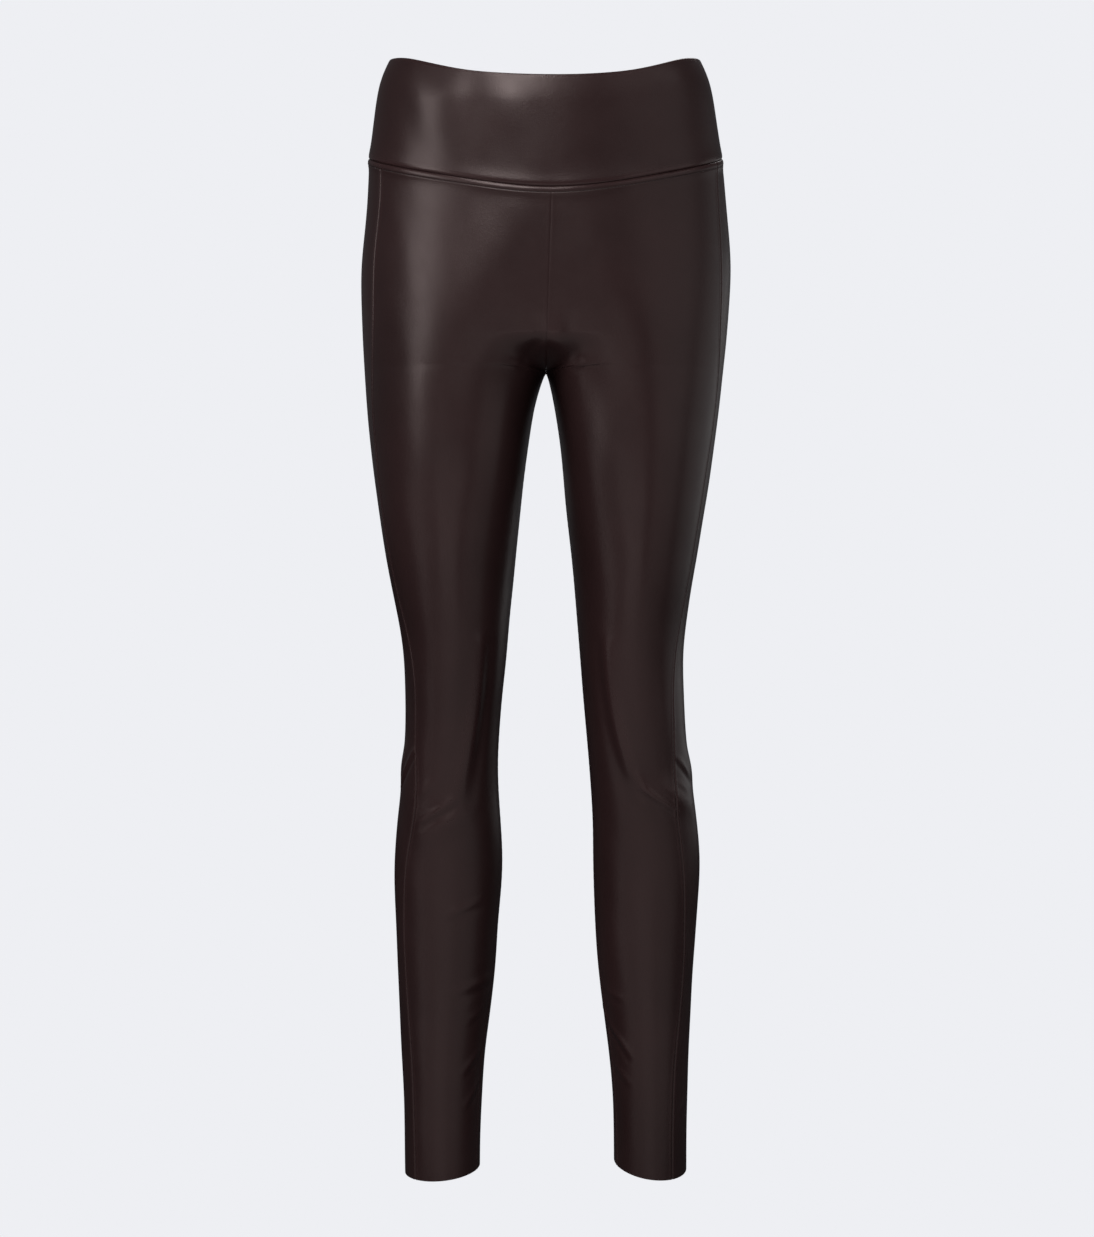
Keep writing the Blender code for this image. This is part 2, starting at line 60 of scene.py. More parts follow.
INSEAM_FORWARD = 18.0  # the inseam turns this far towards the front on its way to the ankle
INSEAM_TURN_HEIGHTS = (-640.0, -840.0)

ROUND = 0.5523  # handle length that makes a Bezier quarter round
QUARTER_PARTS = 24
STEP = 0.4  # distance over which a surface direction is measured
LEAST_IN_PLANE = 0.3  # keeps the way into the cloth on the centre plane from growing too long

# A seam between two panels: a ditch, a low roll beside it and faint puckers on the roll.
SEAM_DEPTH = 0.60
SEAM_HALF_WIDTH = 0.50
SEAM_ROLL = 0.28
SEAM_ROLL_PLACE = 2.0
SEAM_ROLL_HALF_WIDTH = 1.1
PUCKER = 0.05
PUCKER_SPACING = 7.3
PUCKER_DRIFT = 1.7  # how far the puckers stray from even spacing, over DRIFT_LENGTH
DRIFT_LENGTH = 31.0
CENTRE_SEAM_SHARE = 0.25  # the centre-front and centre-back seams are this much finer

# The seam under the waistband: a ditch, a ridge like a fine piping that slopes down to a stitch line,
# and a low roll under the stitches.
BAND_DITCH = 0.25
BAND_DITCH_HALF_WIDTH = 0.3
RIDGE = 1.1
RIDGE_WIDTH = 3.3
STITCH_DROP = 5.3
RIDGE_END = 9.3  # the ridge's slope ends at this drop
CLEAR_OF_RIDGE = 7.3  # the seams between the panels are at their full depth from this drop on
STITCH_DITCH = 0.4
STITCH_DITCH_HALF_WIDTH = 0.4
LOW_ROLL = 0.15
LOW_ROLL_DROP = 7.6
LOW_ROLL_HALF_WIDTH = 1.7

# The waistband: its lower edge rolls in to the seam, swells above it and folds over at the top.
BAND_ROLL_RISE = 1.8
BAND_ROLL_SINK = 0.8
BAND_SWELL = 0.75
BAND_SWELL_RISE = 3.4
TOP_LEAN = 1.8  # how far the band's top edge leans in to the waist
TOP_LEAN_DROP = 26.0

# Where the coating is worn, polished and lighter in colour, from 0 to 1, and how far from a line that
# reaches: partly real wear, partly a painted highlight on seam rolls, the ridge under the band, crease
# crests and the band's roll.
WEAR_AND_SHEEN_BY_INSEAM = 0.4
WEAR_AND_SHEEN_BY_OUTSEAM = 0.5
WEAR_AND_SHEEN_BY_BAND_SIDE = 0.8
WEAR_AND_SHEEN_ON_CREASES = 0.3
WEAR_AND_SHEEN_WIDTH_BY_SEAM = 1.4
WEAR_AND_SHEEN_WIDTH_BY_BAND_SIDE = 2.0
WEAR_AND_SHEEN_WIDTH_ON_RIDGE = 1.3
WEAR_AND_SHEEN_WIDTH_ON_BAND_ROLL = 2.5
WEAR_AND_SHEEN_WIDTH_ON_BAND_TOP = 1.5

# How much of the outseam's ditch is left where it crosses the ridge, and over which distances from
# a piece's edges other relief fades in.
OUTSEAM_ACROSS_RIDGE = 0.4
LEG_WAVES_FADE = (0.0, 20.0)
BAND_WAVES_FADE = (2.0, 25.0)
BAND_SIDE_FADE = (0.0, 4.0)

# Stitches.
STITCH_LENGTH = 2.6
STITCH_PITCH = 3.1
THREAD_RADIUS = 0.19
TACK_LENGTH = 2.7
TACKS_ACROSS = (-3.4, 1.3, 7.3)  # where tacks at the centre front hold the waistband's top edge

# The fine grid of a leg panel and of a waistband piece.
EDGE_OFFSETS = (0.0, 0.3, 0.65, 1.1, 1.7, 2.4, 3.3, 4.5, 6.2)
MIDDLE_COLUMNS = 66
TOP_OFFSETS = (0.0, 0.08, 0.2, 0.4, 0.7, 1.1, 1.6, 2.2, 3.0, 4.0, 4.7, 5.0, 5.3, 5.6, 6.0, 6.8, 8.2, 12.0)
HEM_OFFSETS = (2.0, 1.0, 0.4, 0.0)
CENTRE_SEAM_ROWS = 26
CROTCH_CURVE_ROWS = 45
CROTCH_ROWS = 32
CROTCH_ROWS_END = -330.0
CROTCH_ROWS_POWER = 1.6  # how fast the rows under the crotch grow apart
THIGH_ROWS = 72
KNEE_TOP = -545.0
KNEE_ROWS = 64
KNEE_BOTTOM = -690.0
INNER_ROWS_REACH = 0.9  # share of a panel's width over which its inner edge's rows turn into the outseam's
EDGE_LINE_STEPS = 4
CALF_ROWS = 88
BAND_ROLL_ROWS = 7
BAND_MIDDLE_ROWS = 44
BAND_ROWS_POWER = 1.25  # how fast the waistband's rows grow apart above its seam
BAND_TOP_ROWS = 6
BAND_COLUMNS = 100
SHARP_ANGLE = 62.0  # edges that turn by more degrees than this are shaded sharp


class Section(NamedTuple):
    """The garment at one height. From the side: foremost and rearmost depth, and the depth of the outer
    and inner lines. Then for each leg in the front view, from the centre line: its outer line, its inner
    line, and how far inside the outer line its outseam lies."""

    height: float
    front: float
    back: float
    side: float
    right_outer: float
    right_inner: float
    right_outseam: float
    left_outer: float
    left_inner: float
    left_outseam: float


SECTIONS = (
    Section(50, -88, 88, 0, 137.5, 0, 12.0, 135.8, 0, 6.0),
    Section(20, -89, 90, 0, 147.8, 0, 12.0, 146.0, 0, 6.0),
    Section(-10, -91, 93, 0, 152.8, 0, 12.0, 151.4, 0, 6.0),
    Section(-45, -94, 99, 0, 157.0, 0, 12.3, 156.2, 0, 6.8),
    Section(-80, -96, 108, 2, 158.9, 0, 13.2, 159.9, 0, 8.8),
    Section(-140, -98, 122, 6, 164.0, 0, 13.1, 164.6, 0, 10.9),
    Section(-190, -97, 123, 8, 163.6, 0, 11.8, 162.0, 0, 9.0),
    Section(-235, -94, 113, 8, 161.4, 0, 9.0, 157.4, 0, 5.8),
    Section(-265, -93, 98, 6, 159.3, 10.1, 7.1, 153.9, 7.5, 4.6),
    Section(-300, -93, 88, 4, 155.7, 15.9, 5.5, 149.6, 13.0, 5.0),
    Section(-350, -91, 79, 1, 149.7, 21.9, 4.6, 142.3, 17.8, 5.6),
    Section(-400, -88, 72, -1, 142.0, 27.0, 4.8, 133.8, 22.8, 5.6),
    Section(-440, -84, 66, -2, 134.1, 31.2, 5.6, 126.9, 26.6, 6.2),
    Section(-480, -78, 60, -3, 127.4, 34.8, 8.6, 122.1, 29.7, 8.4),
    Section(-520, -71, 55, -2, 125.2, 38.8, 11.0, 122.3, 32.8, 10.9),
    Section(-570, -62, 51, 0, 125.8, 42.6, 11.4, 125.6, 37.2, 13.4),
    Section(-615, -53, 58, 6, 129.9, 42.0, 15.4, 131.7, 41.0, 18.0),
    Section(-665, -44, 71, 14, 134.7, 39.0, 12.2, 137.0, 42.5, 16.8),
    Section(-720, -38, 76, 19, 134.4, 42.1, 8.9, 135.0, 43.8, 12.5),
    Section(-775, -34, 73, 21, 132.1, 46.4, 8.4, 131.0, 48.0, 10.6),
    Section(-830, -31, 67, 20, 129.8, 53.6, 9.9, 127.9, 54.9, 12.8),
    Section(-880, -29, 62, 19, 127.4, 57.3, 10.2, 126.2, 59.3, 13.9),
    Section(-955, -27, 59, 17, 125.6, 59.0, 10.2, 125.1, 60.5, 13.3),
)


class BandRow(NamedTuple):
    """The waistband's two edges at an angle from the side: 90 is the centre front, -90 the centre back."""

    angle: float
    seam: float
    top: float


BAND_EDGES = (
    BandRow(-90, -44.0, 40.5),
    BandRow(-60, -42.5, 41.5),
    BandRow(-30, -40.3, 43.0),
    BandRow(0, -44.7, 43.0),
    BandRow(30, -55.9, 38.6),
    BandRow(60, -70.0, 23.6),
    BandRow(90, -80.6, 17.8),
)


class Swell(NamedTuple):
    """A low round swell on the front of the waistband: its middle, how far it spreads to each side, up
    and down, and how far it lifts."""

    across: float
    height: float
    half_width: float
    rise: float
    fall: float
    lift: float


BAND_SWELLS = (
    Swell(-96, -6, 25, 24, 38, 3.5),
    Swell(-31, -8, 30, 24, 34, 2.3),
    Swell(-66, -20, 11, 34, 34, -0.6),
    Swell(112, -34, 22, 26, 26, 0.6),
)


class Hem(NamedTuple):
    """A leg's bottom edge: its height, and how much it rises inwards and backwards for each millimetre."""

    height: float
    inward: float
    backward: float


class Crease(NamedTuple):
    """A soft fold from a start past a bend to an end, each an angle round the leg (0 front, 90 outer)
    and a height. Trough is the depth of the trough on the right-hand side of the way from start to
    end, seen with the angle running to the right, as a share of the lift."""

    start_angle: float
    start_height: float
    bend_angle: float
    bend_height: float
    end_angle: float
    end_height: float
    lift: float
    half_width: float
    trough: float


RIGHT_CREASES = (
    # The broad swells that the solids have too.
    Crease(68, -571, 84, -585, 100, -600, 1.8, 11, 0.0),
    Crease(-18, -618, 0, -629, 18, -640, 1.6, 11, 0.0),
    Crease(150, -596, 172, -600, 195, -604, -2.2, 12, 0.0),
    Crease(160, -640, 188, -634, 215, -628, -1.8, 12, 0.0),
    # Crotch.
    Crease(-38, -236, -37, -218, -36, -196, -1.2, 4.0, 0.0),
    # Knee, from the front.
    Crease(38, -569, 52, -583, 80, -603, 1.5, 2.1, 0.8),
    Crease(-3, -612, 10, -623, 27, -633, 1.2, 3.0, 0.9),
    Crease(-6, -615, 1, -621, 10, -627, 0.6, 2.0, 0.7),
    Crease(15, -597, 23, -603, 34, -611, 0.8, 4.5, 0.6),
    Crease(-20, -475, -22, -545, -8, -610, 2.4, 7.0, 0.7),
    # Inside of the calf.
    Crease(-35, -702, -18, -706, -4, -713, 0.8, 3.6, 0.7),
    Crease(-68, -771, -34, -775, -14, -781, 0.9, 4.0, 0.7),
    Crease(-54, -797, -39, -802, -28, -808, 0.65, 3.2, 0.6),
    Crease(-53, -835, -38, -844, -26, -853, 0.9, 3.4, 0.7),
    Crease(-57, -864, -43, -873, -31, -883, 0.8, 3.2, 0.7),
    # Back of the knee, seat and ankle, out of the photograph's sight.
    Crease(138, -580, 160, -590, 186, -587, -0.9, 4.5, -0.5),
    Crease(148, -617, 176, -624, 208, -613, -1.1, 4.5, -0.6),
    Crease(166, -654, 190, -655, 214, -645, -0.8, 4.0, -0.5),
    Crease(205, -572, 226, -582, 246, -580, -0.6, 4.0, -0.5),
    Crease(118, -630, 134, -644, 156, -652, -0.5, 3.5, -0.5),
    Crease(140, -250, 172, -268, 206, -252, -0.9, 7.0, -0.6),
    Crease(158, -286, 180, -296, 200, -290, -0.5, 6.0, -0.5),
    Crease(142, -868, 168, -878, 196, -871, 0.5, 5.0, 0.6),
    Crease(160, -902, 182, -909, 204, -900, 0.4, 4.5, 0.5),
)

LEFT_CREASES = (
    # The broad swells that the solids have too.
    Crease(10, -600, 31, -609, 52, -618, 1.6, 11, 0.0),
    Crease(72, -575, 86, -586, 100, -598, 1.6, 11, 0.0),
    Crease(145, -602, 172, -597, 200, -592, -2.2, 12, 0.0),
    Crease(165, -630, 188, -636, 210, -642, -1.8, 12, 0.0),
    # Crotch.
    Crease(-37, -236, -35, -218, -34, -196, 1.3, 5.0, 0.8),
    # Knee, from the front.
    Crease(-19, -475, -20, -555, 0, -612, 2.2, 6.5, 0.6),
    Crease(-4, -590, 4, -606, 16, -620, 0.9, 3.5, 0.7),
    Crease(0, -602, 11, -611, 30, -624, 1.2, 2.4, 0.8),
    Crease(40, -576, 50, -583, 68, -594, 1.1, 2.8, 0.8),
    Crease(36, -597, 43, -600, 52, -605, 0.7, 2.4, 0.6),
    # Inside and outside of the calf.
    Crease(-82, -800, -46, -815, -20, -839, 1.3, 3.2, 0.9),
    Crease(-57, -783, -41, -785, -28, -789, 0.7, 2.8, 0.6),
    Crease(-57, -846, -39, -855, -25, -863, 0.8, 3.2, 0.7),
    Crease(41, -890, 50, -885, 62, -880, 0.6, 2.5, 0.6),
    # Back of the knee, seat and ankle, out of the photograph's sight.
    Crease(134, -584, 158, -580, 184, -574, -0.9, 4.5, -0.5),
    Crease(150, -612, 180, -619, 212, -620, -1.1, 4.5, -0.6),
    Crease(160, -646, 184, -655, 206, -657, -0.7, 4.0, -0.5),
    Crease(208, -586, 228, -592, 250, -586, -0.6, 4.0, -0.5),
    Crease(120, -606, 132, -622, 150, -634, -0.5, 3.5, -0.5),
    Crease(144, -254, 176, -270, 208, -256, -0.8, 7.0, -0.6),
    Crease(150, -292, 176, -300, 198, -292, -0.5, 6.0, -0.5),
    Crease(150, -876, 174, -880, 200, -870, 0.5, 5.0, 0.6),
    Crease(146, -906, 166, -913, 190, -908, 0.4, 4.5, 0.5),
)

CREASE_PARTS = 10
TROUGH_PLACE = 1.6  # a crease's trough lies this many half widths beside its ridge
CREASE_END = 0.45  # a crease's lift at its ends, as a share of that at its middle


class Wave(NamedTuple):
    """A low wide swell that keeps a surface from being too even: height, wavelengths on each axis, phase."""

    height: float
    across: float
    through: float
    up: float
    phase: float


WAVES = (
    Wave(0.20, 150, 210, 330, 0.4),
    Wave(0.13, -88, 130, 170, 2.1),
    Wave(0.07, 47, -66, 74, 4.0),
)


class Leg(NamedTuple):
    """One side of the garment. Its own x runs outwards, and sign turns that into the garment's +X."""

    name: str
    sign: int
    hem: Hem
    creases: tuple


LEFT = Leg("left", 1, Hem(-939.9, 0.125, 0.19), LEFT_CREASES)
RIGHT = Leg("right", -1, Hem(-943.6, 0.09, 0.13), RIGHT_CREASES)


# ---------------------------------------------------------------- the body form


def curve_through(places, values):
    """A smooth curve through the values, as a function: a natural cubic spline."""
    order = np.argsort(places)
    x = np.array(places, float)[order]
    y = np.array(values, float)[order]
    gap = np.diff(x)
    slope = np.diff(y) / gap
    bend = np.zeros(len(x))
    matrix = np.diag(2 * (gap[:-1] + gap[1:])) + np.diag(gap[1:-1], 1) + np.diag(gap[1:-1], -1)
    bend[1:-1] = np.linalg.solve(matrix, 6 * np.diff(slope))

    def value(at):
        at = np.clip(at, x[0], x[-1])
        k = np.clip(np.searchsorted(x, at) - 1, 0, len(gap) - 1)
        before = at - x[k]
        after = x[k + 1] - at
        bent = (bend[k] * after**3 + bend[k + 1] * before**3) / (6 * gap[k])
        low = (y[k] / gap[k] - bend[k] * gap[k] / 6) * after
        high = (y[k + 1] / gap[k] - bend[k + 1] * gap[k] / 6) * before
        return bent + low + high

    return value


def section_curve(name):
    return curve_through([row.height for row in SECTIONS], [getattr(row, name) for row in SECTIONS])


def mirrored_band_edge(name):
    """A band edge over all angles, flat where it crosses the centre front and the centre back."""
    angles = [row.angle for row in BAND_EDGES]
    values = [getattr(row, name) for row in BAND_EDGES]
    over_front = [(180 - a, v) for a, v in zip(angles[3:-1], values[3:-1])]
    over_back = [(-180 - a, v) for a, v in zip(angles[1:4], values[1:4])]
    both = list(zip(angles, values)) + over_front + over_back
    return curve_through([a for a, _ in both], [v for _, v in both])


def spread_curve(leg):
    """The inner line, as the number that multiplies a power of the drop below the crotch."""
    inner = {row.height: getattr(row, f"{leg.name}_inner") for row in SECTIONS if row.height < CROTCH_HEIGHT}
    ratios = [place / (CROTCH_HEIGHT - height) ** LEG_SPREAD_POWER for height, place in inner.items()]
    return curve_through(list(inner), ratios)


SIDE_CURVES = {name: section_curve(name) for name in ("front", "back", "side")}
OUTER_CURVES = {leg.name: section_curve(f"{leg.name}_outer") for leg in (LEFT, RIGHT)}
OUTSEAM_CURVES = {leg.name: section_curve(f"{leg.name}_outseam") for leg in (LEFT, RIGHT)}
SPREAD_CURVES = {leg.name: spread_curve(leg) for leg in (LEFT, RIGHT)}
BAND_SEAM = mirrored_band_edge("seam")
BAND_TOP = mirrored_band_edge("top")


def inner_line(leg, heights):
    drop = np.maximum(CROTCH_HEIGHT - heights, 0.0)
    return SPREAD_CURVES[leg.name](heights) * drop**LEG_SPREAD_POWER


def smooth_share(value, start, end):
    """0 at start and 1 at end, eased at both."""
    share = np.clip((value - start) / (end - start), 0.0, 1.0)
    return share * share * (3 - 2 * share)


def crotch_share(heights, curve_top):
    """How far a seam curve has swung from its straight run, 0, to the crotch, 1: a quarter round."""
    fallen = np.clip((curve_top - heights) / (curve_top - CROTCH_HEIGHT), 0.0, 1.0)
    return 1 - np.sqrt(1 - fallen**2)


def thigh_round(heights):
    """Handle length of the front's inner rounds at each height: squarest at the crotch."""
    start, full, fading, end = SQUARE_HEIGHTS
    share = smooth_share(heights, start, full) * (1 - smooth_share(heights, fading, end))
    return ROUND + (CROTCH_ROUND - ROUND) * share


def bezier(controls, t):
    """Points at t on cubic curves, whose four control points are the second axis from the end."""
    weights = np.stack([(1 - t) ** 3, 3 * t * (1 - t) ** 2, 3 * t * t * (1 - t), t**3], axis=-1)
    return np.einsum("...k,...kd->...d", weights, controls)


def inner_quarter(seam, crest, turn, handle):
    """Control points from a seam to a crest: flat across the centre where turn is 0, round where it is 1."""
    reach = crest - seam
    angle = turn * math.pi / 2
    pull = np.stack([np.cos(angle) * reach[:, 0], np.sin(angle) * reach[:, 1]], axis=1)
    level = np.stack([reach[:, 0], np.zeros(len(reach))], axis=1)
    handle = handle[:, None]
    return np.stack([seam, seam + handle * pull, crest - handle * level, crest], axis=1)


def outer_quarter(crest, side):
    """Control points from a crest to the outer line."""
    across = np.stack([side[:, 0] - crest[:, 0], np.zeros(len(crest))], axis=1)
    through = np.stack([np.zeros(len(crest)), side[:, 1] - crest[:, 1]], axis=1)
    return np.stack([crest, crest + ROUND * across, side - ROUND * through, side], axis=1)


class Outline:
    """One leg's half of the garment's outer line at each height, from the centre front or the
    innermost place, past the front, the outer side and the back, to where it closes."""

    def __init__(self, leg, heights):
        self.leg = leg
        self.heights = np.asarray(heights, float)
        self.below = self.heights < CROTCH_HEIGHT
        self.controls = self._controls()
        t = np.tile(np.linspace(0.0, 1.0, QUARTER_PARTS + 1), (len(self.heights), 1))
        spans = [bezier(self.controls[:, None, k], t) for k in range(4)]
        self.points = np.concatenate([spans[0]] + [span[:, 1:] for span in spans[1:]], axis=1)
        steps = np.linalg.norm(np.diff(self.points, axis=1), axis=2)
        self.along = np.hstack([np.zeros((len(steps), 1)), np.cumsum(steps, axis=1)])
        self.length = self.along[:, -1]

    def _controls(self):
        """The four quarters' control points at each height."""
        half_gap = np.where(self.below, 0.0, SEAM_GAP / 2)
        squarer = thigh_round(self.heights)
        plain = np.full(len(self.heights), ROUND)
        front = self._half("front", FRONT_CURVE_TOP, FRONT_CREST_HEIGHTS, -half_gap, squarer)
        back = self._half("back", BACK_CURVE_TOP, BACK_CREST_HEIGHTS, half_gap, plain)
        return np.stack([*front, back[1][:, ::-1], back[0][:, ::-1]], axis=1)

    def _half(self, name, curve_top, crest_heights, gap, handle):
        """Control points of the front's or the back's quarters: seam to crest, and crest to outer line."""
        heights = self.heights
        far = SIDE_CURVES[name](heights)
        side = SIDE_CURVES["side"](heights)
        outer = OUTER_CURVES[self.leg.name](heights)
        inner = SEAM_GAP / 2 + inner_line(self.leg, heights)
        swing = crotch_share(heights, curve_top)
        seam = np.stack([inner, far + (side + gap - far) * swing], axis=1)
        across = inner + (outer - inner) * CREST_ACROSS * smooth_share(heights, *crest_heights)
        crest = np.stack([across, far], axis=1)
        outermost = np.stack([outer, side], axis=1)
        return inner_quarter(seam, crest, np.sqrt(swing), handle), outer_quarter(crest, outermost)

    def _distance_where(self, span, axis, wanted):
        """Distance along the line where a span first reaches a value of x (axis 0) or y (axis 1)."""
        columns = slice(span * QUARTER_PARTS, (span + 1) * QUARTER_PARTS + 1)
        values = self.points[:, columns, axis]
        along = self.along[:, columns]
        step = (values[:, 1:-1] < wanted[:, None]).sum(axis=1)
        rows = np.arange(len(step))
        before = values[rows, step]
        share = np.clip((wanted - before) / (values[rows, step + 1] - before), 0.0, 1.0)
        return along[rows, step] + share * (along[rows, step + 1] - along[rows, step])

    def outseam(self):
        outer = OUTER_CURVES[self.leg.name](self.heights)
        return self._distance_where(1, 0, outer - OUTSEAM_CURVES[self.leg.name](self.heights))

    def inseam(self):
        return INSEAM_FORWARD * smooth_share(self.heights, *INSEAM_TURN_HEIGHTS)

    def band_side_seam(self):
        return self._distance_where(2, 1, SIDE_CURVES["side"](self.heights) + BAND_SIDE_SEAM_BACK)

    def at(self, distances):
        """Points at these distances along the line, one for each height."""
        wanted = np.where(self.below, np.mod(distances, self.length), distances)
        step = (self.along[:, 1:-1] <= wanted[:, None]).sum(axis=1)
        rows = np.arange(len(step))
        before = self.along[rows, step]
        chord = np.maximum(self.along[rows, step + 1] - before, 1e-9)
        place = (step + np.clip((wanted - before) / chord, 0.0, 1.0)) / QUARTER_PARTS
        span = np.minimum(place.astype(int), 3)
        flat = bezier(self.controls[rows, span], place - span)
        return np.column_stack([flat, self.heights])


def leaned(leg, points):
    """The points with the centre-front seam's drift added: most at the centre, none at the sides."""
    outer = OUTER_CURVES[leg.name](points[:, 2])
    rise = (points[:, 2] - CROTCH_HEIGHT) / (BAND_EDGES[-1].seam - CROTCH_HEIGHT)
    front = np.clip(-points[:, 1] / BAND_DEPTH, 0.0, 1.0)
    across = CENTRE_LEAN * np.clip(rise, 0.0, 1.0) * front * (1 - (points[:, 0] / outer) ** 2)
    moved = points.copy()
    moved[:, 0] += leg.sign * across
    return moved


def outward_on(leg, heights, distances):
    """The direction straight out of the body form at each height and distance."""
    here = Outline(leg, heights)
    above = Outline(leg, heights + STEP)
    under = Outline(leg, heights - STEP)
    share = distances / here.length
    least = np.where(here.below, distances - STEP, np.maximum(distances - STEP, 0.0))
    most = np.where(here.below, distances + STEP, np.minimum(distances + STEP, here.length))
    along = here.at(most) - here.at(least)
    upward = above.at(share * above.length) - under.at(share * under.length)
    outward = np.cross(along, upward)
    return outward / np.linalg.norm(outward, axis=1, keepdims=True)


class Sheet(NamedTuple):
    """A grid of points on the body form with the way into the cloth at each, in garment coordinates."""

    outside: np.ndarray
    inward: np.ndarray

    def raised(self, relief):
        return Sheet(self.outside - self.inward * relief[..., None], self.inward)

    def sunk(self, depth):
        return self.outside + self.inward * depth


def sheet_on(leg, heights, distances):
    """The points at these heights and distances, with the inward direction of the cloth at each.

    The first column above the crotch lies on the centre plane, where the two halves meet. There inward
    stays in that plane and is longer, so that the wall keeps its thickness and its edge lies flat."""
    shape = heights.shape
    flat_heights = heights.ravel()
    flat_distances = distances.ravel()
    centre = ((np.arange(shape[1]) == 0) & (heights >= CROTCH_HEIGHT)).ravel()
    here = Outline(leg, flat_heights)
    lowest = np.where(centre, CROTCH_HEIGHT + 2 * STEP, -np.inf)
    direction_heights = np.maximum(flat_heights, lowest)
    direction_lengths = Outline(leg, direction_heights).length
    outward = outward_on(leg, direction_heights, flat_distances / here.length * direction_lengths)
    in_plane = outward.copy()
    in_plane[:, 0] = 0.0
    in_plane /= np.maximum((in_plane**2).sum(axis=1, keepdims=True), LEAST_IN_PLANE)
    inward = -np.where(centre[:, None], in_plane, outward)
    points = leaned(leg, here.at(flat_distances))
    mirror = np.array([leg.sign, 1, 1])
    return Sheet((points * mirror).reshape(*shape, 3), (inward * mirror).reshape(*shape, 3))


def angle_from_side(leg, points):
    """The angle round the waist of each point: 90 at the centre front, 0 at the side."""
    outer = OUTER_CURVES[leg.name](points[:, 2])
    return np.degrees(np.arctan2(-points[:, 1] / BAND_DEPTH, points[:, 0] / outer))


# ---------------------------------------------------------------- relief on the form


def bump(distance, half_width):
    return np.exp(-((distance / half_width) ** 2))


def seam_relief(distance, heights):
    """How far the cloth stands out beside a seam."""
    roll = bump(distance - SEAM_ROLL_PLACE, SEAM_ROLL_HALF_WIDTH)
    pucker = np.sin(heights * 2 * math.pi / PUCKER_SPACING + PUCKER_DRIFT * np.sin(heights / DRIFT_LENGTH))
    return roll * (SEAM_ROLL + PUCKER * pucker) - SEAM_DEPTH * bump(distance, SEAM_HALF_WIDTH)


def under_band_relief(drop):
    """How far the leg cloth stands out at this drop below the waistband seam."""
    short_of_crest = 1 - np.clip(drop / RIDGE_WIDTH, 0.0, 1.0)
    ridge = RIDGE * np.sqrt(1 - short_of_crest**2) * (1 - smooth_share(drop, RIDGE_WIDTH, RIDGE_END))
    below = LOW_ROLL * bump(drop - LOW_ROLL_DROP, LOW_ROLL_HALF_WIDTH)
    ditch = BAND_DITCH * bump(drop, BAND_DITCH_HALF_WIDTH)
    stitches = STITCH_DITCH * bump(drop - STITCH_DROP, STITCH_DITCH_HALF_WIDTH)
    return ridge + below - ditch - stitches


def band_swell_relief(points):
    relief = np.zeros(points.shape[:-1])
    for swell in BAND_SWELLS:
        across = bump(points[..., 0] - swell.across, swell.half_width)
        above = points[..., 2] - swell.height
        relief += swell.lift * across * bump(above, np.where(above > 0, swell.rise, swell.fall))
    return relief


def wave_relief(points):
    relief = np.zeros(points.shape[:-1])
    for wave in WAVES:
        turns = points @ np.array([1 / wave.across, 1 / wave.through, 1 / wave.up])
        relief += wave.height * np.sin(2 * math.pi * turns + wave.phase)
    return relief


def leg_radius(leg, heights):
    """Mean half size of the leg, which turns an angle round it into a distance."""
    width = OUTER_CURVES[leg.name](heights) - inner_line(leg, heights)
    depth = SIDE_CURVES["back"](heights) - SIDE_CURVES["front"](heights)
    return (width + depth) / 4


def crease_line(leg, crease):
    """Points along a crease, as distance round the leg and height."""
    corners = np.array(crease[:6]).reshape(3, 2)
    t = np.linspace(0.0, 1.0, CREASE_PARTS + 1)[:, None]
    line = corners[0] * (1 - t) ** 2 + corners[1] * 2 * t * (1 - t) + corners[2] * t**2
    line[:, 0] = np.radians(line[:, 0]) * leg_radius(leg, line[:, 1])
    return line


def crease_relief(leg, crease, angle, heights):
    """How far one crease raises the cloth, at each angle round the leg and height."""
    middle = (crease.start_angle + crease.end_angle) / 2
    turned = (angle - middle + 180) % 360 - 180 + middle
    place = np.stack([np.radians(turned) * leg_radius(leg, heights), heights], axis=-1)
    line = crease_line(leg, crease)
    nearest = np.full(heights.shape, np.inf)
    across = np.zeros(heights.shape)
    beyond = np.zeros(heights.shape)
    fade = np.zeros(heights.shape)
    for k in range(CREASE_PARTS):
        part = line[k + 1] - line[k]
        length = np.linalg.norm(part)
        direction = part / length
        offset = place - line[k]
        run = offset @ direction
        along = np.clip(run, 0.0, length)
        distance = np.linalg.norm(offset - along[..., None] * direction, axis=-1)
        side = offset @ np.array([-direction[1], direction[0]])
        past_start = np.maximum(-run, 0.0) * (k == 0)
        past_end = np.maximum(run - length, 0.0) * (k == CREASE_PARTS - 1)
        past = past_start + past_end
        closer = distance < nearest
        nearest = np.where(closer, distance, nearest)
        across = np.where(closer, np.where(past > 0, side, np.copysign(distance, side)), across)
        beyond = np.where(closer, past, beyond)
        fade = np.where(closer, (k + along / length) / CREASE_PARTS, fade)
    width = crease.half_width
    ridge = bump(across, width) - crease.trough * bump(across + TROUGH_PLACE * width, width)
    along_it = CREASE_END + (1 - CREASE_END) * np.sin(fade * math.pi)
    return crease.lift * ridge * bump(beyond, width) * along_it


def creases_on(leg, outside):
    """The relief of all creases of a leg on points in garment coordinates."""
    x = outside[..., 0] * leg.sign
    heights = outside[..., 2]
    middle = (OUTER_CURVES[leg.name](heights) + inner_line(leg, heights)) / 2
    angle = np.degrees(np.arctan2(x - middle, SIDE_CURVES["side"](heights) - outside[..., 1]))
    return sum(crease_relief(leg, crease, angle, heights) for crease in leg.creases)


# ---------------------------------------------------------------- leg panels


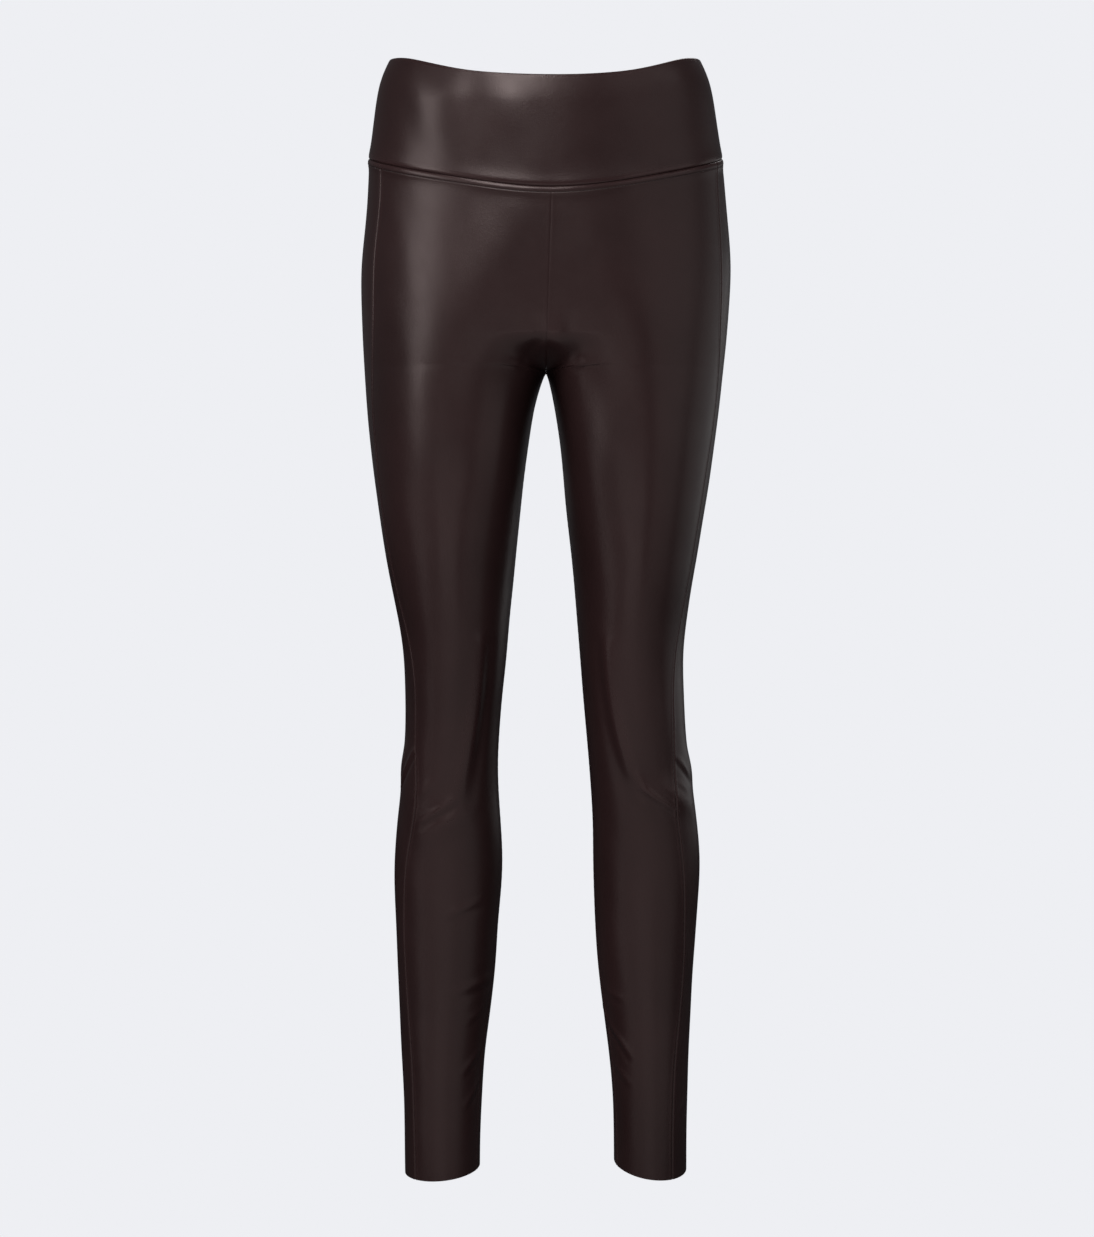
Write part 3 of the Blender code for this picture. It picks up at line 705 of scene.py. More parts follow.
class Cut(NamedTuple):
    """A front or a back piece: its name, which way it lies from the side seam along the outline (-1 before
    it, 1 past it), and that seam's distance along an outline."""

    name: str
    way: int
    outer_seam: object

    def edges(self, outline):
        """Distance along the line to the piece's inner edge and to its side seam."""
        gap = self.way * SEAM_GAP / 2
        inner = np.where(outline.below, outline.inseam() - gap, 0.0)
        if self.way > 0:
            inner = inner + outline.length
        return inner, self.outer_seam(outline) + gap


LEG_CUTS = (Cut("front", -1, Outline.outseam), Cut("back", 1, Outline.outseam))
BAND_CUTS = (Cut("front", -1, Outline.band_side_seam), Cut("back", 1, Outline.band_side_seam))
CURVE_TOPS = {"front": FRONT_CURVE_TOP, "back": BACK_CURVE_TOP}


class Columns(NamedTuple):
    """Where each column lies across a piece: a fixed distance plus a share of the width that is left."""

    fixed: np.ndarray
    share: np.ndarray
    taken: float

    def from_edge(self, widths):
        return self.fixed + self.share * (widths - self.taken)


def panel_columns():
    near = np.array(EDGE_OFFSETS)
    reach = near[-1]
    middle = np.linspace(0.0, 1.0, MIDDLE_COLUMNS + 1)[1:-1]
    fixed = np.concatenate([near, np.full(len(middle), reach), 2 * reach - near[::-1]])
    share = np.concatenate([np.zeros(len(near)), middle, np.ones(len(near))])
    return Columns(fixed, share, 2 * reach)


def lower_rows(hem):
    """Row heights over the knee and down the calf, which are level all round."""
    knee = np.linspace(KNEE_TOP, KNEE_BOTTOM, KNEE_ROWS + 1)[1:]
    calf = np.linspace(KNEE_BOTTOM, hem, CALF_ROWS + 1)[1:]
    return np.concatenate([knee, calf])


def inner_row_heights(top, hem, curve_top):
    """Row heights down a panel's inner edge: close together round the crotch and at the knee."""
    swing = np.linspace(0, math.pi / 2, CROTCH_CURVE_ROWS + 1)[1:]
    down_seam = np.linspace(top, curve_top, CENTRE_SEAM_ROWS + 1)
    round_crotch = curve_top - (curve_top - CROTCH_HEIGHT) * np.sin(swing)
    opening = (np.arange(1, CROTCH_ROWS + 1) / CROTCH_ROWS) ** CROTCH_ROWS_POWER
    under_crotch = CROTCH_HEIGHT + (CROTCH_ROWS_END - CROTCH_HEIGHT) * opening
    thigh = np.linspace(CROTCH_ROWS_END, KNEE_TOP, THIGH_ROWS + 1)[1:]
    return np.concatenate([down_seam, round_crotch, under_crotch, thigh, lower_rows(hem)])


def outer_row_heights(top, hem):
    """Row heights down the outseam, as many as down the inner edge and level with them at the knee."""
    upper_rows = CENTRE_SEAM_ROWS + CROTCH_CURVE_ROWS + CROTCH_ROWS + THIGH_ROWS
    return np.concatenate([np.linspace(top, KNEE_TOP, upper_rows + 1), lower_rows(hem)])


def panel_places(cut, outline, columns):
    """Distance along the outline to each column, and how far it is from the inner edge and the side seam."""
    inner, outer = cut.edges(outline)
    widths = np.abs(outer - inner)
    from_inner = columns.from_edge(widths)
    return inner + np.sign(outer - inner) * from_inner, from_inner, widths - from_inner


def grid_places(leg, cut, columns, heights):
    """The same for a whole grid with these heights."""
    column_of = np.broadcast_to(np.arange(heights.shape[1]), heights.shape).ravel()
    spread = Columns(columns.fixed[column_of], columns.share[column_of], columns.taken)
    places = panel_places(cut, Outline(leg, heights.ravel()), spread)
    return [v.reshape(heights.shape) for v in places]


def edge_line(leg, cut, columns, start, height_at):
    """The height of an edge at each column. The columns' places depend on it, so it is found in steps."""
    heights = np.full(len(columns.fixed), start)
    for _ in range(EDGE_LINE_STEPS):
        outline = Outline(leg, heights)
        heights = height_at(leg, outline, outline.at(panel_places(cut, outline, columns)[0]))
    return heights


def hem_height(leg, outline, points):
    centre = (outline.points[..., 0].max(axis=1) + outline.points[..., 0].min(axis=1)) / 2
    inward = leg.hem.inward * (centre - points[:, 0])
    backward = leg.hem.backward * (points[:, 1] - SIDE_CURVES["side"](outline.heights))
    return leg.hem.height + inward + backward


def band_seam_height(leg, outline, points):
    return BAND_SEAM(angle_from_side(leg, points))


def band_top_height(leg, outline, points):
    return BAND_TOP(angle_from_side(leg, points))


def panel_heights(leg, cut, columns):
    """Heights of the whole grid: fixed drops under the waistband seam, fixed rises over the hem."""
    tops = edge_line(leg, cut, columns, BAND_SEAM(0.0), band_seam_height) - SEAM_GAP / 2
    hems = edge_line(leg, cut, columns, leg.hem.height, hem_height)
    first = tops - TOP_OFFSETS[-1]
    last = hems + HEM_OFFSETS[0]
    inner_rows = inner_row_heights(first[0], last[0], CURVE_TOPS[cut.name])
    outer_rows = outer_row_heights(first[-1], last[-1])
    inner_fall = ((first[0] - inner_rows) / (first[0] - last[0]))[:, None]
    outer_fall = ((first[-1] - outer_rows) / (first[-1] - last[-1]))[:, None]
    inner_weight = (1 - smooth_share(columns.share, 0.0, INNER_ROWS_REACH))[None]
    fall = inner_fall * inner_weight + outer_fall * (1 - inner_weight)
    middle = first + (last - first) * fall
    middle[:, 0] = inner_rows
    upper = tops - np.array(TOP_OFFSETS[:-1])[:, None]
    lower = hems + np.array(HEM_OFFSETS[1:])[:, None]
    return np.concatenate([upper, middle, lower]), tops


class Panel(NamedTuple):
    """A piece's cloth: its outer sheet, how worn it is and where its colour is lightened as a painted
    highlight, and where it lies on the form, in metres.
    """

    sheet: Sheet
    wear: np.ndarray
    place: np.ndarray


def finished_panel(sheet, relief, wear, distances, heights):
    place = np.stack([distances, heights], axis=-1) * MM
    return Panel(sheet.raised(relief), np.clip(wear, 0.0, 1.0), place)


def leg_panel(leg, cut):
    columns = panel_columns()
    heights, tops = panel_heights(leg, cut, columns)
    distances, inner, outer = grid_places(leg, cut, columns, heights)
    sheet = sheet_on(leg, heights, distances)
    drop = tops - heights
    clear_of_ridge = smooth_share(drop, RIDGE_WIDTH, CLEAR_OF_RIDGE)
    creases = creases_on(leg, sheet.outside)
    under_crotch = smooth_share(-heights, -CROTCH_HEIGHT, -CROTCH_ROWS_END)
    inner_share = CENTRE_SEAM_SHARE + (1 - CENTRE_SEAM_SHARE) * under_crotch
    relief = seam_relief(inner, heights) * clear_of_ridge * inner_share
    outer_share = OUTSEAM_ACROSS_RIDGE + (1 - OUTSEAM_ACROSS_RIDGE) * clear_of_ridge
    relief += seam_relief(outer, heights) * outer_share
    relief += under_band_relief(drop) + creases
    relief += wave_relief(sheet.outside) * smooth_share(drop, *LEG_WAVES_FADE)
    # Worn places that also carry a painted highlight: a lighter colour on the seam rolls, on the ridge under
    # the band and on the crests of creases.
    wear = WEAR_AND_SHEEN_BY_INSEAM * inner_share * bump(inner - SEAM_ROLL_PLACE, WEAR_AND_SHEEN_WIDTH_BY_SEAM)
    wear += WEAR_AND_SHEEN_BY_OUTSEAM * bump(outer - SEAM_ROLL_PLACE, WEAR_AND_SHEEN_WIDTH_BY_SEAM)
    wear += bump(drop - RIDGE_WIDTH / 2, WEAR_AND_SHEEN_WIDTH_ON_RIDGE) + WEAR_AND_SHEEN_ON_CREASES * np.maximum(creases, 0.0)
    return finished_panel(sheet, relief, wear, distances, heights)


# ---------------------------------------------------------------- waistband


def band_columns():
    """Across half of a waistband piece, from the centre line to the side seam."""
    near = np.array(EDGE_OFFSETS)
    reach = near[-1]
    middle = np.linspace(0.0, 1.0, BAND_COLUMNS + 1)[:-1]
    fixed = np.concatenate([np.zeros(len(middle)), reach - near[::-1]])
    share = np.concatenate([middle, np.ones(len(near))])
    return Columns(fixed, share, reach)


class BandRows(NamedTuple):
    """The waistband's rows from its seam to its top: where each lies as a fixed rise plus a share of
    the band's height, and how deep its outer and inner faces lie."""

    fixed: np.ndarray
    share: np.ndarray
    outer_depth: np.ndarray
    inner_depth: np.ndarray


def band_rows():
    radius = BAND_CLOTH / 2
    roll = np.linspace(0.0, math.pi / 2, BAND_ROLL_ROWS + 1)[:-1]
    middle = np.linspace(0.0, 1.0, BAND_MIDDLE_ROWS + 1) ** BAND_ROWS_POWER
    over = np.linspace(0.0, math.pi / 2, BAND_TOP_ROWS + 2)[1:-1]
    fixed = [
        BAND_ROLL_RISE * (1 - np.cos(roll)),
        BAND_ROLL_RISE - middle * (BAND_ROLL_RISE + radius),
        radius * (np.sin(over) - 1),
    ]
    share = [np.zeros(len(roll)), middle, np.ones(len(over))]
    fold = [np.zeros(len(roll) + len(middle)), radius * (1 - np.cos(over))]
    tuck = [BAND_ROLL_SINK * (1 - np.sin(roll)), np.zeros(len(middle) + len(over))]
    fold_depth = np.concatenate(fold)
    outer_depth = fold_depth + np.concatenate(tuck)
    return BandRows(np.concatenate(fixed), np.concatenate(share), outer_depth, BAND_CLOTH - fold_depth)


def half_band(leg, cut, rows):
    """Half of a waistband piece, from the centre line to the side seam."""
    columns = band_columns()
    bottoms = edge_line(leg, cut, columns, BAND_SEAM(0.0), band_seam_height) + SEAM_GAP / 2
    tops = edge_line(leg, cut, columns, BAND_TOP(0.0), band_top_height)
    rise = rows.fixed[:, None] + rows.share[:, None] * (tops - bottoms)
    heights = bottoms + rise
    distances, _, side = grid_places(leg, cut, columns, heights)
    sheet = sheet_on(leg, heights, distances)
    sheet = Sheet(sheet.outside - [leg.sign * SEAM_GAP / 2, 0, 0], sheet.inward)
    relief = BAND_SWELL * rise / BAND_SWELL_RISE * np.exp(1 - rise / BAND_SWELL_RISE)
    relief += seam_relief(side, heights) * smooth_share(rise, *BAND_SIDE_FADE)
    relief += wave_relief(sheet.outside) * smooth_share(rise, *BAND_WAVES_FADE)
    relief -= TOP_LEAN * np.clip(1 - (tops - heights) / TOP_LEAN_DROP, 0.0, 1.0) ** 2
    if cut.name == "front":
        relief += band_swell_relief(sheet.outside)
    # Worn places that also carry a painted highlight: a lighter colour beside the side seams, on the band's
    # lower roll and on its top fold.
    wear = WEAR_AND_SHEEN_BY_BAND_SIDE * bump(side - SEAM_ROLL_PLACE, WEAR_AND_SHEEN_WIDTH_BY_BAND_SIDE)
    wear += bump(rise - BAND_ROLL_RISE, WEAR_AND_SHEEN_WIDTH_ON_BAND_ROLL) + bump(tops - heights, WEAR_AND_SHEEN_WIDTH_ON_BAND_TOP)
    return finished_panel(sheet, relief, wear, distances, heights)


def joined(first, second):
    """Two grids side by side that share their centre line."""
    return np.concatenate([first[:, ::-1], second[:, 1:]], axis=1)


def band_piece(cut, rows):
    right = half_band(RIGHT, cut, rows)
    left = half_band(LEFT, cut, rows)
    sheet = Sheet(*(joined(r, l) for r, l in zip(right.sheet, left.sheet)))
    mirrored = right.place * [-1, 1]
    return Panel(sheet, joined(right.wear, left.wear), joined(mirrored, left.place))


# ---------------------------------------------------------------- meshes


def grid_faces(rows, columns):
    """Corner numbers of a closed shell: outer faces, inner faces and the rim, from two grids."""
    number = np.arange(rows * columns).reshape(rows, columns)
    corners = (number[:-1, :-1], number[:-1, 1:], number[1:, 1:], number[1:, :-1])
    outer = np.stack(corners, axis=-1).reshape(-1, 4)
    inner = outer[:, ::-1] + rows * columns
    ring = np.concatenate([number[0], number[1:, -1], number[-1, -2::-1], number[-2::-1, 0]])
    start, end = ring[:-1], ring[1:]
    rim = np.stack([end, start, start + rows * columns, end + rows * columns], axis=-1)
    return outer, inner, rim


def add_object(name, data):
    thing = bpy.data.objects.new(name, data)
    bpy.context.scene.collection.objects.link(thing)
    return thing


def add_mesh(name, points, faces, materials):
    """A smooth mesh object from points in millimetres."""
    mesh = bpy.data.meshes.new(name)
    mesh.from_pydata((points * MM).tolist(), [], faces)
    for material in materials:
        mesh.materials.append(material)
    mesh.shade_smooth()
    return add_object(name, mesh)


def add_shell(name, panel, outer_depth, inner_depth, materials):
    """A piece of cloth with its outer face, inner face and edges, each with its own material."""
    outside = panel.sheet.sunk(outer_depth)
    inside = panel.sheet.sunk(inner_depth)
    rows, columns = outside.shape[:2]
    faces = grid_faces(rows, columns)
    r, c = rows // 2, columns // 2
    facing = np.cross(outside[r, c + 1] - outside[r, c], outside[r + 1, c] - outside[r, c])
    corners = np.concatenate(faces)
    if facing @ panel.sheet.inward[r, c] > 0:
        corners = corners[:, ::-1]
    points = np.concatenate([outside.reshape(-1, 3), inside.reshape(-1, 3)])
    piece = add_mesh(name, points, corners.tolist(), materials)
    mesh = piece.data
    slots = np.repeat(np.arange(len(faces)), [len(group) for group in faces])
    mesh.polygons.foreach_set("material_index", slots.astype(np.int32))
    layer = mesh.uv_layers.new(name="cloth")
    place = np.tile(panel.place.reshape(-1, 2), (2, 1))
    layer.uv.foreach_set("vector", place[corners.ravel()].astype(np.float32).ravel())
    # The wear mask: worn places and painted highlights, which the cloth's material lightens and polishes.
    wear = mesh.attributes.new("wear", "FLOAT", "POINT")
    wear.data.foreach_set("value", np.tile(panel.wear.ravel(), 2).astype(np.float32))
    mesh.set_sharp_from_angle(angle=math.radians(SHARP_ANGLE))
    return piece


class StitchRing(NamedTuple):
    """A ring of a stitch: its share of the length, how far it stands out, and its share of the radius."""

    along: float
    out: float
    radius: float


STITCH_RINGS = (
    StitchRing(0.0, -0.30, 0.55),
    StitchRing(0.10, 0.0, 0.95),
    StitchRing(0.5, 0.12, 1.0),
    StitchRing(0.90, 0.0, 0.95),
    StitchRing(1.0, -0.30, 0.55),
)
RING_ALONG, RING_OUT, RING_RADIUS = np.array(STITCH_RINGS).T
THREAD_SIDES = 7


def thread_stitch(centres, outward, radii):
    """Points and faces of one stitch: rings round the centres, closed at both ends."""
    along = np.gradient(centres, axis=0)
    along /= np.linalg.norm(along, axis=1, keepdims=True)
    side = np.cross(along, outward)
    side /= np.linalg.norm(side, axis=1, keepdims=True)
    up = np.cross(side, along)
    turn = np.linspace(0.0, 2 * math.pi, THREAD_SIDES, endpoint=False)
    ring = np.cos(turn)[:, None, None] * side + np.sin(turn)[:, None, None] * up
    points = centres + ring * radii[:, None]
    number = np.arange(THREAD_SIDES * len(centres)).reshape(THREAD_SIDES, len(centres))
    following = np.roll(number, -1, axis=0)
    sides = np.stack([number[:, :-1], number[:, 1:], following[:, 1:], following[:, :-1]], axis=-1)
    caps = [number[:, 0].tolist(), number[::-1, -1].tolist()]
    return points.reshape(-1, 3), sides.reshape(-1, 4).tolist() + caps


def add_stitches(name, lines, material):
    """All stitches of one seam as a mesh. Each line is (centres, outward) along one stitch."""
    points = []
    faces = []
    count = 0
    for centres, outward in lines:
        stitch, corners = thread_stitch(centres, outward, RING_RADIUS * THREAD_RADIUS)
        faces += [[count + k for k in face] for face in corners]
        points.append(stitch)
        count += len(stitch)
    return add_mesh(name, np.concatenate(points), faces, [material])


def stitch_from(line, outward, start, length):
    """One stitch that starts this far along a line of points, with its ends pulled into the cloth."""
    steps = np.linalg.norm(np.diff(line, axis=0), axis=1)
    along = np.concatenate([[0.0], np.cumsum(steps)])
    places = start + RING_ALONG * length
    centres = np.stack([np.interp(places, along, line[:, k]) for k in range(3)], axis=1)
    out = np.stack([np.interp(places, along, outward[:, k]) for k in range(3)], axis=1)
    return centres + out * RING_OUT[:, None], out


def stitches_along(line, outward):
    """The stitches that follow a line of points."""
    length = np.linalg.norm(np.diff(line, axis=0), axis=1).sum()
    starts = np.arange(STITCH_PITCH, length - STITCH_PITCH, STITCH_PITCH)
    return [stitch_from(line, outward, start, STITCH_LENGTH) for start in starts]


def tacks_on(panel):
    """The short upright stitches under the top edge of the waistband's front."""
    flat_rows = BAND_ROLL_ROWS + BAND_MIDDLE_ROWS + 1
    found = []
    for across in TACKS_ACROSS:
        column = np.abs(panel.sheet.outside[flat_rows - 1, :, 0] - across).argmin()
        line = panel.sheet.outside[:flat_rows, column][::-1]
        outward = -panel.sheet.inward[:flat_rows, column][::-1]
        found.append(stitch_from(line, outward, 0.0, TACK_LENGTH))
    return found


# ---------------------------------------------------------------- materials


def new_material(name):
    material = bpy.data.materials.new(name)
    material.use_nodes = True
    return material, material.node_tree, material.node_tree.nodes["Principled BSDF"]


def add_node(tree, kind, **inputs):
    node = tree.nodes.new(kind)
    for name, value in inputs.items():
        node.inputs[name.replace("_", " ")].default_value = value
    return node


def texture(tree, kind, space, **inputs):
    """A texture node laid out in object or UV space."""
    node = add_node(tree, kind, **inputs)
    tree.links.new(tree.nodes.new("ShaderNodeTexCoord").outputs[space], node.inputs["Vector"])
    return node


def shaded(colour, share):
    return [c * share for c in colour]


def ramp(tree, source, start, end):
    """A colour ramp from one (place, colour) to another."""
    node = tree.nodes.new("ShaderNodeValToRGB")
    for element, (place, colour) in zip(node.color_ramp.elements, (start, end)):
        element.position = place
        element.color = (*colour, 1.0)
    tree.links.new(source, node.inputs["Fac"])
    return node.outputs["Color"]


def raised(tree, height, strength, distance):
    """A bump node that stands out with a height."""
    node = add_node(tree, "ShaderNodeBump", Strength=strength, Distance=distance)
    tree.links.new(height, node.inputs["Height"])
    return node


def grain(tree, shader, pattern, dark, light, relief):
    """Colours a fibrous surface from a dark (place, colour) to a light one by a pattern, and raises it
    by a relief: its strength and its distance in metres."""
    tree.links.new(ramp(tree, pattern, dark, light), shader.inputs["Base Color"])
    tree.links.new(raised(tree, pattern, *relief).outputs["Normal"], shader.inputs["Normal"])


def map_range(tree, source, low, high):
    node = add_node(tree, "ShaderNodeMapRange", To_Min=low, To_Max=high)
    tree.links.new(source, node.inputs["Value"])
    return node.outputs["Result"]


BROWN = (0.035, 0.0170, 0.0172)
SHEEN_TINT = (1.0, 0.835, 0.81)
LEG_ROUGHNESS = 0.32
BAND_ROUGHNESS = 0.30
BACKING_BROWN = (0.035, 0.026, 0.024)
EDGE_BROWN = (0.045, 0.032, 0.028)
THREAD_BROWN = (0.050, 0.036, 0.032)
# The tacks' thread is coloured pale as a painted highlight.
TACK_PAINTED_HIGHLIGHT = (0.30, 0.25, 0.24)


def coated_cloth(name, colour, roughness):
    """Coated stretch cloth: dark brown with a satin sheen, a fine grain, and a polish and a lighter colour
    where the wear mask rises: partly real wear, partly a painted highlight on seam rolls, ridges and crease
    crests.
    """
    material, tree, shader = new_material(name)
    broad = texture(tree, "ShaderNodeTexNoise", "Object", Scale=9.0, Detail=3.0, Roughness=0.55)
    base = ramp(tree, broad.outputs["Fac"], (0.3, shaded(colour, 0.86)), (0.7, shaded(colour, 1.14)))
    # A lighter colour where the wear mask rises: partly real wear, partly a painted highlight.
    lightened_by_wear_and_sheen = tree.nodes.new("ShaderNodeMix")
    lightened_by_wear_and_sheen.data_type = "RGBA"
    tree.links.new(base, lightened_by_wear_and_sheen.inputs["A"])
    lightened_by_wear_and_sheen.inputs["B"].default_value = (*shaded(colour, 1.9), 1.0)
    wear = tree.nodes.new("ShaderNodeAttribute")
    wear.attribute_name = "wear"
    tree.links.new(map_range(tree, wear.outputs["Fac"], 0.0, 0.35), lightened_by_wear_and_sheen.inputs["Factor"])
    tree.links.new(lightened_by_wear_and_sheen.outputs["Result"], shader.inputs["Base Color"])

    patch = texture(tree, "ShaderNodeTexNoise", "Object", Scale=55.0, Detail=4.0, Roughness=0.6)
    gloss = map_range(tree, patch.outputs["Fac"], roughness - 0.05, roughness + 0.05)
    polished = tree.nodes.new("ShaderNodeMath")
    polished.operation = "MULTIPLY_ADD"
    polished.inputs[1].default_value = -0.10
    tree.links.new(wear.outputs["Fac"], polished.inputs[0])
    tree.links.new(gloss, polished.inputs[2])
    tree.links.new(polished.outputs["Value"], shader.inputs["Roughness"])

    cells = texture(tree, "ShaderNodeTexVoronoi", "Object", Scale=1300.0)
    cells.feature = "SMOOTH_F1"
    pores = texture(tree, "ShaderNodeTexNoise", "Object", Scale=420.0, Detail=3.0)
    fine = raised(tree, cells.outputs["Distance"], 0.22, 0.0002)
    coarse = raised(tree, pores.outputs["Fac"], 0.12, 0.0004)
    tree.links.new(fine.outputs["Normal"], coarse.inputs["Normal"])
    tree.links.new(coarse.outputs["Normal"], shader.inputs["Normal"])
    shader.inputs["Specular Tint"].default_value = (*SHEEN_TINT, 1.0)
    return material


def knit_backing(name, colour):
    """The inside of the cloth: a matte fine knit with upright ribs."""
    material, tree, shader = new_material(name)
    ribs = texture(tree, "ShaderNodeTexWave", "UV", Scale=320.0, Distortion=1.2, Detail=2.0)
    ribs.bands_direction = "X"
    loops = texture(tree, "ShaderNodeTexWave", "UV", Scale=260.0, Distortion=1.5, Detail=2.0)
    loops.bands_direction = "Y"
    both = tree.nodes.new("ShaderNodeMath")
    both.operation = "MULTIPLY"
    tree.links.new(ribs.outputs["Fac"], both.inputs[0])
    tree.links.new(loops.outputs["Fac"], both.inputs[1])
    grain(tree, shader, both.outputs["Value"], (0.0, shaded(colour, 0.7)), (1.0, colour), (0.5, 0.0003))
    shader.inputs["Roughness"].default_value = 0.92
    shader.inputs["Sheen Weight"].default_value = 0.25
    return material


def cut_edge(name, colour):
    """The raw edge of the cloth: fibres between the coating and the knit."""
    material, tree, shader = new_material(name)
    fibres = texture(tree, "ShaderNodeTexNoise", "Object", Scale=1800.0, Detail=4.0)
    grain(tree, shader, fibres.outputs["Fac"], (0.3, shaded(colour, 0.6)), (0.7, colour), (0.6, 0.0002))
    shader.inputs["Roughness"].default_value = 0.85
    return material


def sewing_thread(name, colour):
    """Twisted polyester thread."""
    material, tree, shader = new_material(name)
    twist = texture(tree, "ShaderNodeTexWave", "Object", Scale=900.0, Distortion=0.5)
    twist.bands_direction = "DIAGONAL"
    grain(tree, shader, twist.outputs["Fac"], (0.1, shaded(colour, 0.65)), (0.9, colour), (0.4, 0.0001))
    shader.inputs["Roughness"].default_value = 0.5
    shader.inputs["Sheen Weight"].default_value = 0.3
    return material


# ---------------------------------------------------------------- floor, light and camera

BACKGROUND = (0.855, 0.863, 0.896)
FLOOR_HEIGHT = -1020.0

# The rest of the studio, in metres.
FLOOR_SIZE = 60.0
TARGET_HEIGHT = -0.45
SOFTBOX_DISTANCE = 3.2

CAMERA_PLACE = (0.00089, -3.2, -0.45333)
CAMERA_HALF_VIEW = 0.54981  # from the view's middle to its top, at the depth of the origin


class Softbox(NamedTuple):
    """A studio light that faces the middle of the garment: degrees round from the camera (plus is to its
    right) and up, metres and watts."""

    name: str
    azimuth: float
    elevation: float
    width: float
    height: float
    power: float


SOFTBOXES = (
    Softbox("key", -58, 15, 1.1, 0.7, 6.0),
    Softbox("band_key", -60, 27, 1.4, 0.5, 7.5),
    Softbox("left_wide", -48, 11, 2.0, 1.2, 3.0),
    Softbox("high_left", -50, 36, 2.4, 0.5, 2.2),
    Softbox("band_glow", -15, 39, 1.3, 1.1, 27.0),
    Softbox("overhead", -30, 62, 0.7, 0.5, 10.0),
    Softbox("high_right", 54, 36, 3.0, 0.5, 3.3),
    Softbox("right_fill", 60, 8, 3.2, 2.0, 7.0),
    Softbox("front_low", -5, -9, 2.6, 1.0, 6.5),
    Softbox("left_low", -72, -9, 1.4, 0.5, 2.0),
    Softbox("right_rim", 112, 6, 1.8, 1.6, 2.6),
    Softbox("back_low", 140, 4, 1.2, 1.0, 1.2),
    Softbox("back_high", 160, 50, 1.4, 1.8, 22.0),
)

# The floor in front of the garment, which the lights brighten and the lower legs reflect.
FLOOR_GLOW_SIZE = (3.0, 2.2)
FLOOR_GLOW_AHEAD = 1.3
FLOOR_GLOW_RISE = 0.008
FLOOR_GLOW_POWER = 6.5

# How much of the pale studio the cloth reflects, apart from the lights.
PAPER_REFLECTED = 0.05
WORLD_REFLECTED = 0.09


def mix_by_ray(tree, reflected, seen, output):
    """Shows one look to the camera and another to what the cloth reflects."""
    mix = tree.nodes.new("ShaderNodeMixShader")
    tree.links.new(tree.nodes.new("ShaderNodeLightPath").outputs["Is Camera Ray"], mix.inputs["Fac"])
    tree.links.new(reflected, mix.inputs[1])
    tree.links.new(seen, mix.inputs[2])
    tree.links.new(mix.outputs["Shader"], tree.nodes.new(output).inputs["Surface"])


def add_floor():
    half = FLOOR_SIZE / 2
    corners = [(-half, -half, 0), (half, -half, 0), (half, half, 0), (-half, half, 0)]
    mesh = bpy.data.meshes.new("floor")
    mesh.from_pydata(corners, [], [(0, 1, 2, 3)])
    floor = add_object("floor", mesh)
    floor.location.z = FLOOR_HEIGHT * MM
    material = bpy.data.materials.new("studio_paper")
    material.use_nodes = True
    tree = material.node_tree
    tree.nodes.clear()
    dim = (*shaded(BACKGROUND, PAPER_REFLECTED), 1.0)
    paper = add_node(tree, "ShaderNodeBsdfDiffuse", Color=dim)
    glow = add_node(tree, "ShaderNodeEmission", Color=(*BACKGROUND, 1.0))
    mix_by_ray(tree, paper.outputs["BSDF"], glow.outputs["Emission"], "ShaderNodeOutputMaterial")
    mesh.materials.append(material)


def light_world():
    """A pale background for the camera, and a dim one for what the cloth reflects."""
    world = bpy.data.worlds.new("studio")
    bpy.context.scene.world = world
    world.use_nodes = True
    tree = world.node_tree
    tree.nodes.clear()
    pale = add_node(tree, "ShaderNodeBackground", Color=(*BACKGROUND, 1.0), Strength=1.0)
    dim = add_node(tree, "ShaderNodeBackground", Color=(*BACKGROUND, 1.0), Strength=WORLD_REFLECTED)
    mix_by_ray(tree, dim.outputs["Background"], pale.outputs["Background"], "ShaderNodeOutputWorld")


def add_area_light(name, place, turn, size, power):
    light = bpy.data.lights.new(name, "AREA")
    light.shape = "RECTANGLE"
    light.size, light.size_y = size
    light.energy = power
    lamp = add_object(name, light)
    lamp.location = place
    lamp.rotation_euler = turn
    lamp.visible_camera = False


def add_lights():
    for box in SOFTBOXES:
        round_by = math.radians(box.azimuth)
        up_by = math.radians(box.elevation)
        level = SOFTBOX_DISTANCE * math.cos(up_by)
        rise = SOFTBOX_DISTANCE * math.sin(up_by)
        place = (level * math.sin(round_by), -level * math.cos(round_by), TARGET_HEIGHT + rise)
        turn = (math.pi / 2 - up_by, 0.0, round_by)
        add_area_light(box.name, place, turn, (box.width, box.height), box.power)
    place = (0.0, -FLOOR_GLOW_AHEAD, FLOOR_HEIGHT * MM + FLOOR_GLOW_RISE)
    add_area_light("floor_glow", place, (math.pi, 0.0, 0.0), FLOOR_GLOW_SIZE, FLOOR_GLOW_POWER)


def add_camera():
    data = bpy.data.cameras.new("camera")
    data.sensor_fit = "VERTICAL"
    data.angle = 2 * math.atan(CAMERA_HALF_VIEW / -CAMERA_PLACE[1])
    camera = add_object("camera", data)
    camera.location = CAMERA_PLACE
    camera.rotation_euler = (math.pi / 2, 0.0, 0.0)
    bpy.context.scene.camera = camera


# ---------------------------------------------------------------- the whole


class Flat(NamedTuple):
    """The cloth a piece is cut from: width, length and area of the flat piece, in metres."""

    width: float
    length: float
    area: float


def finish_piece(piece, node, stitches):
    """Puts a cloth piece and what is sewn on it in place of its solid."""
    for part in (piece, *stitches):
        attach(part, "root")
    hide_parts(node)


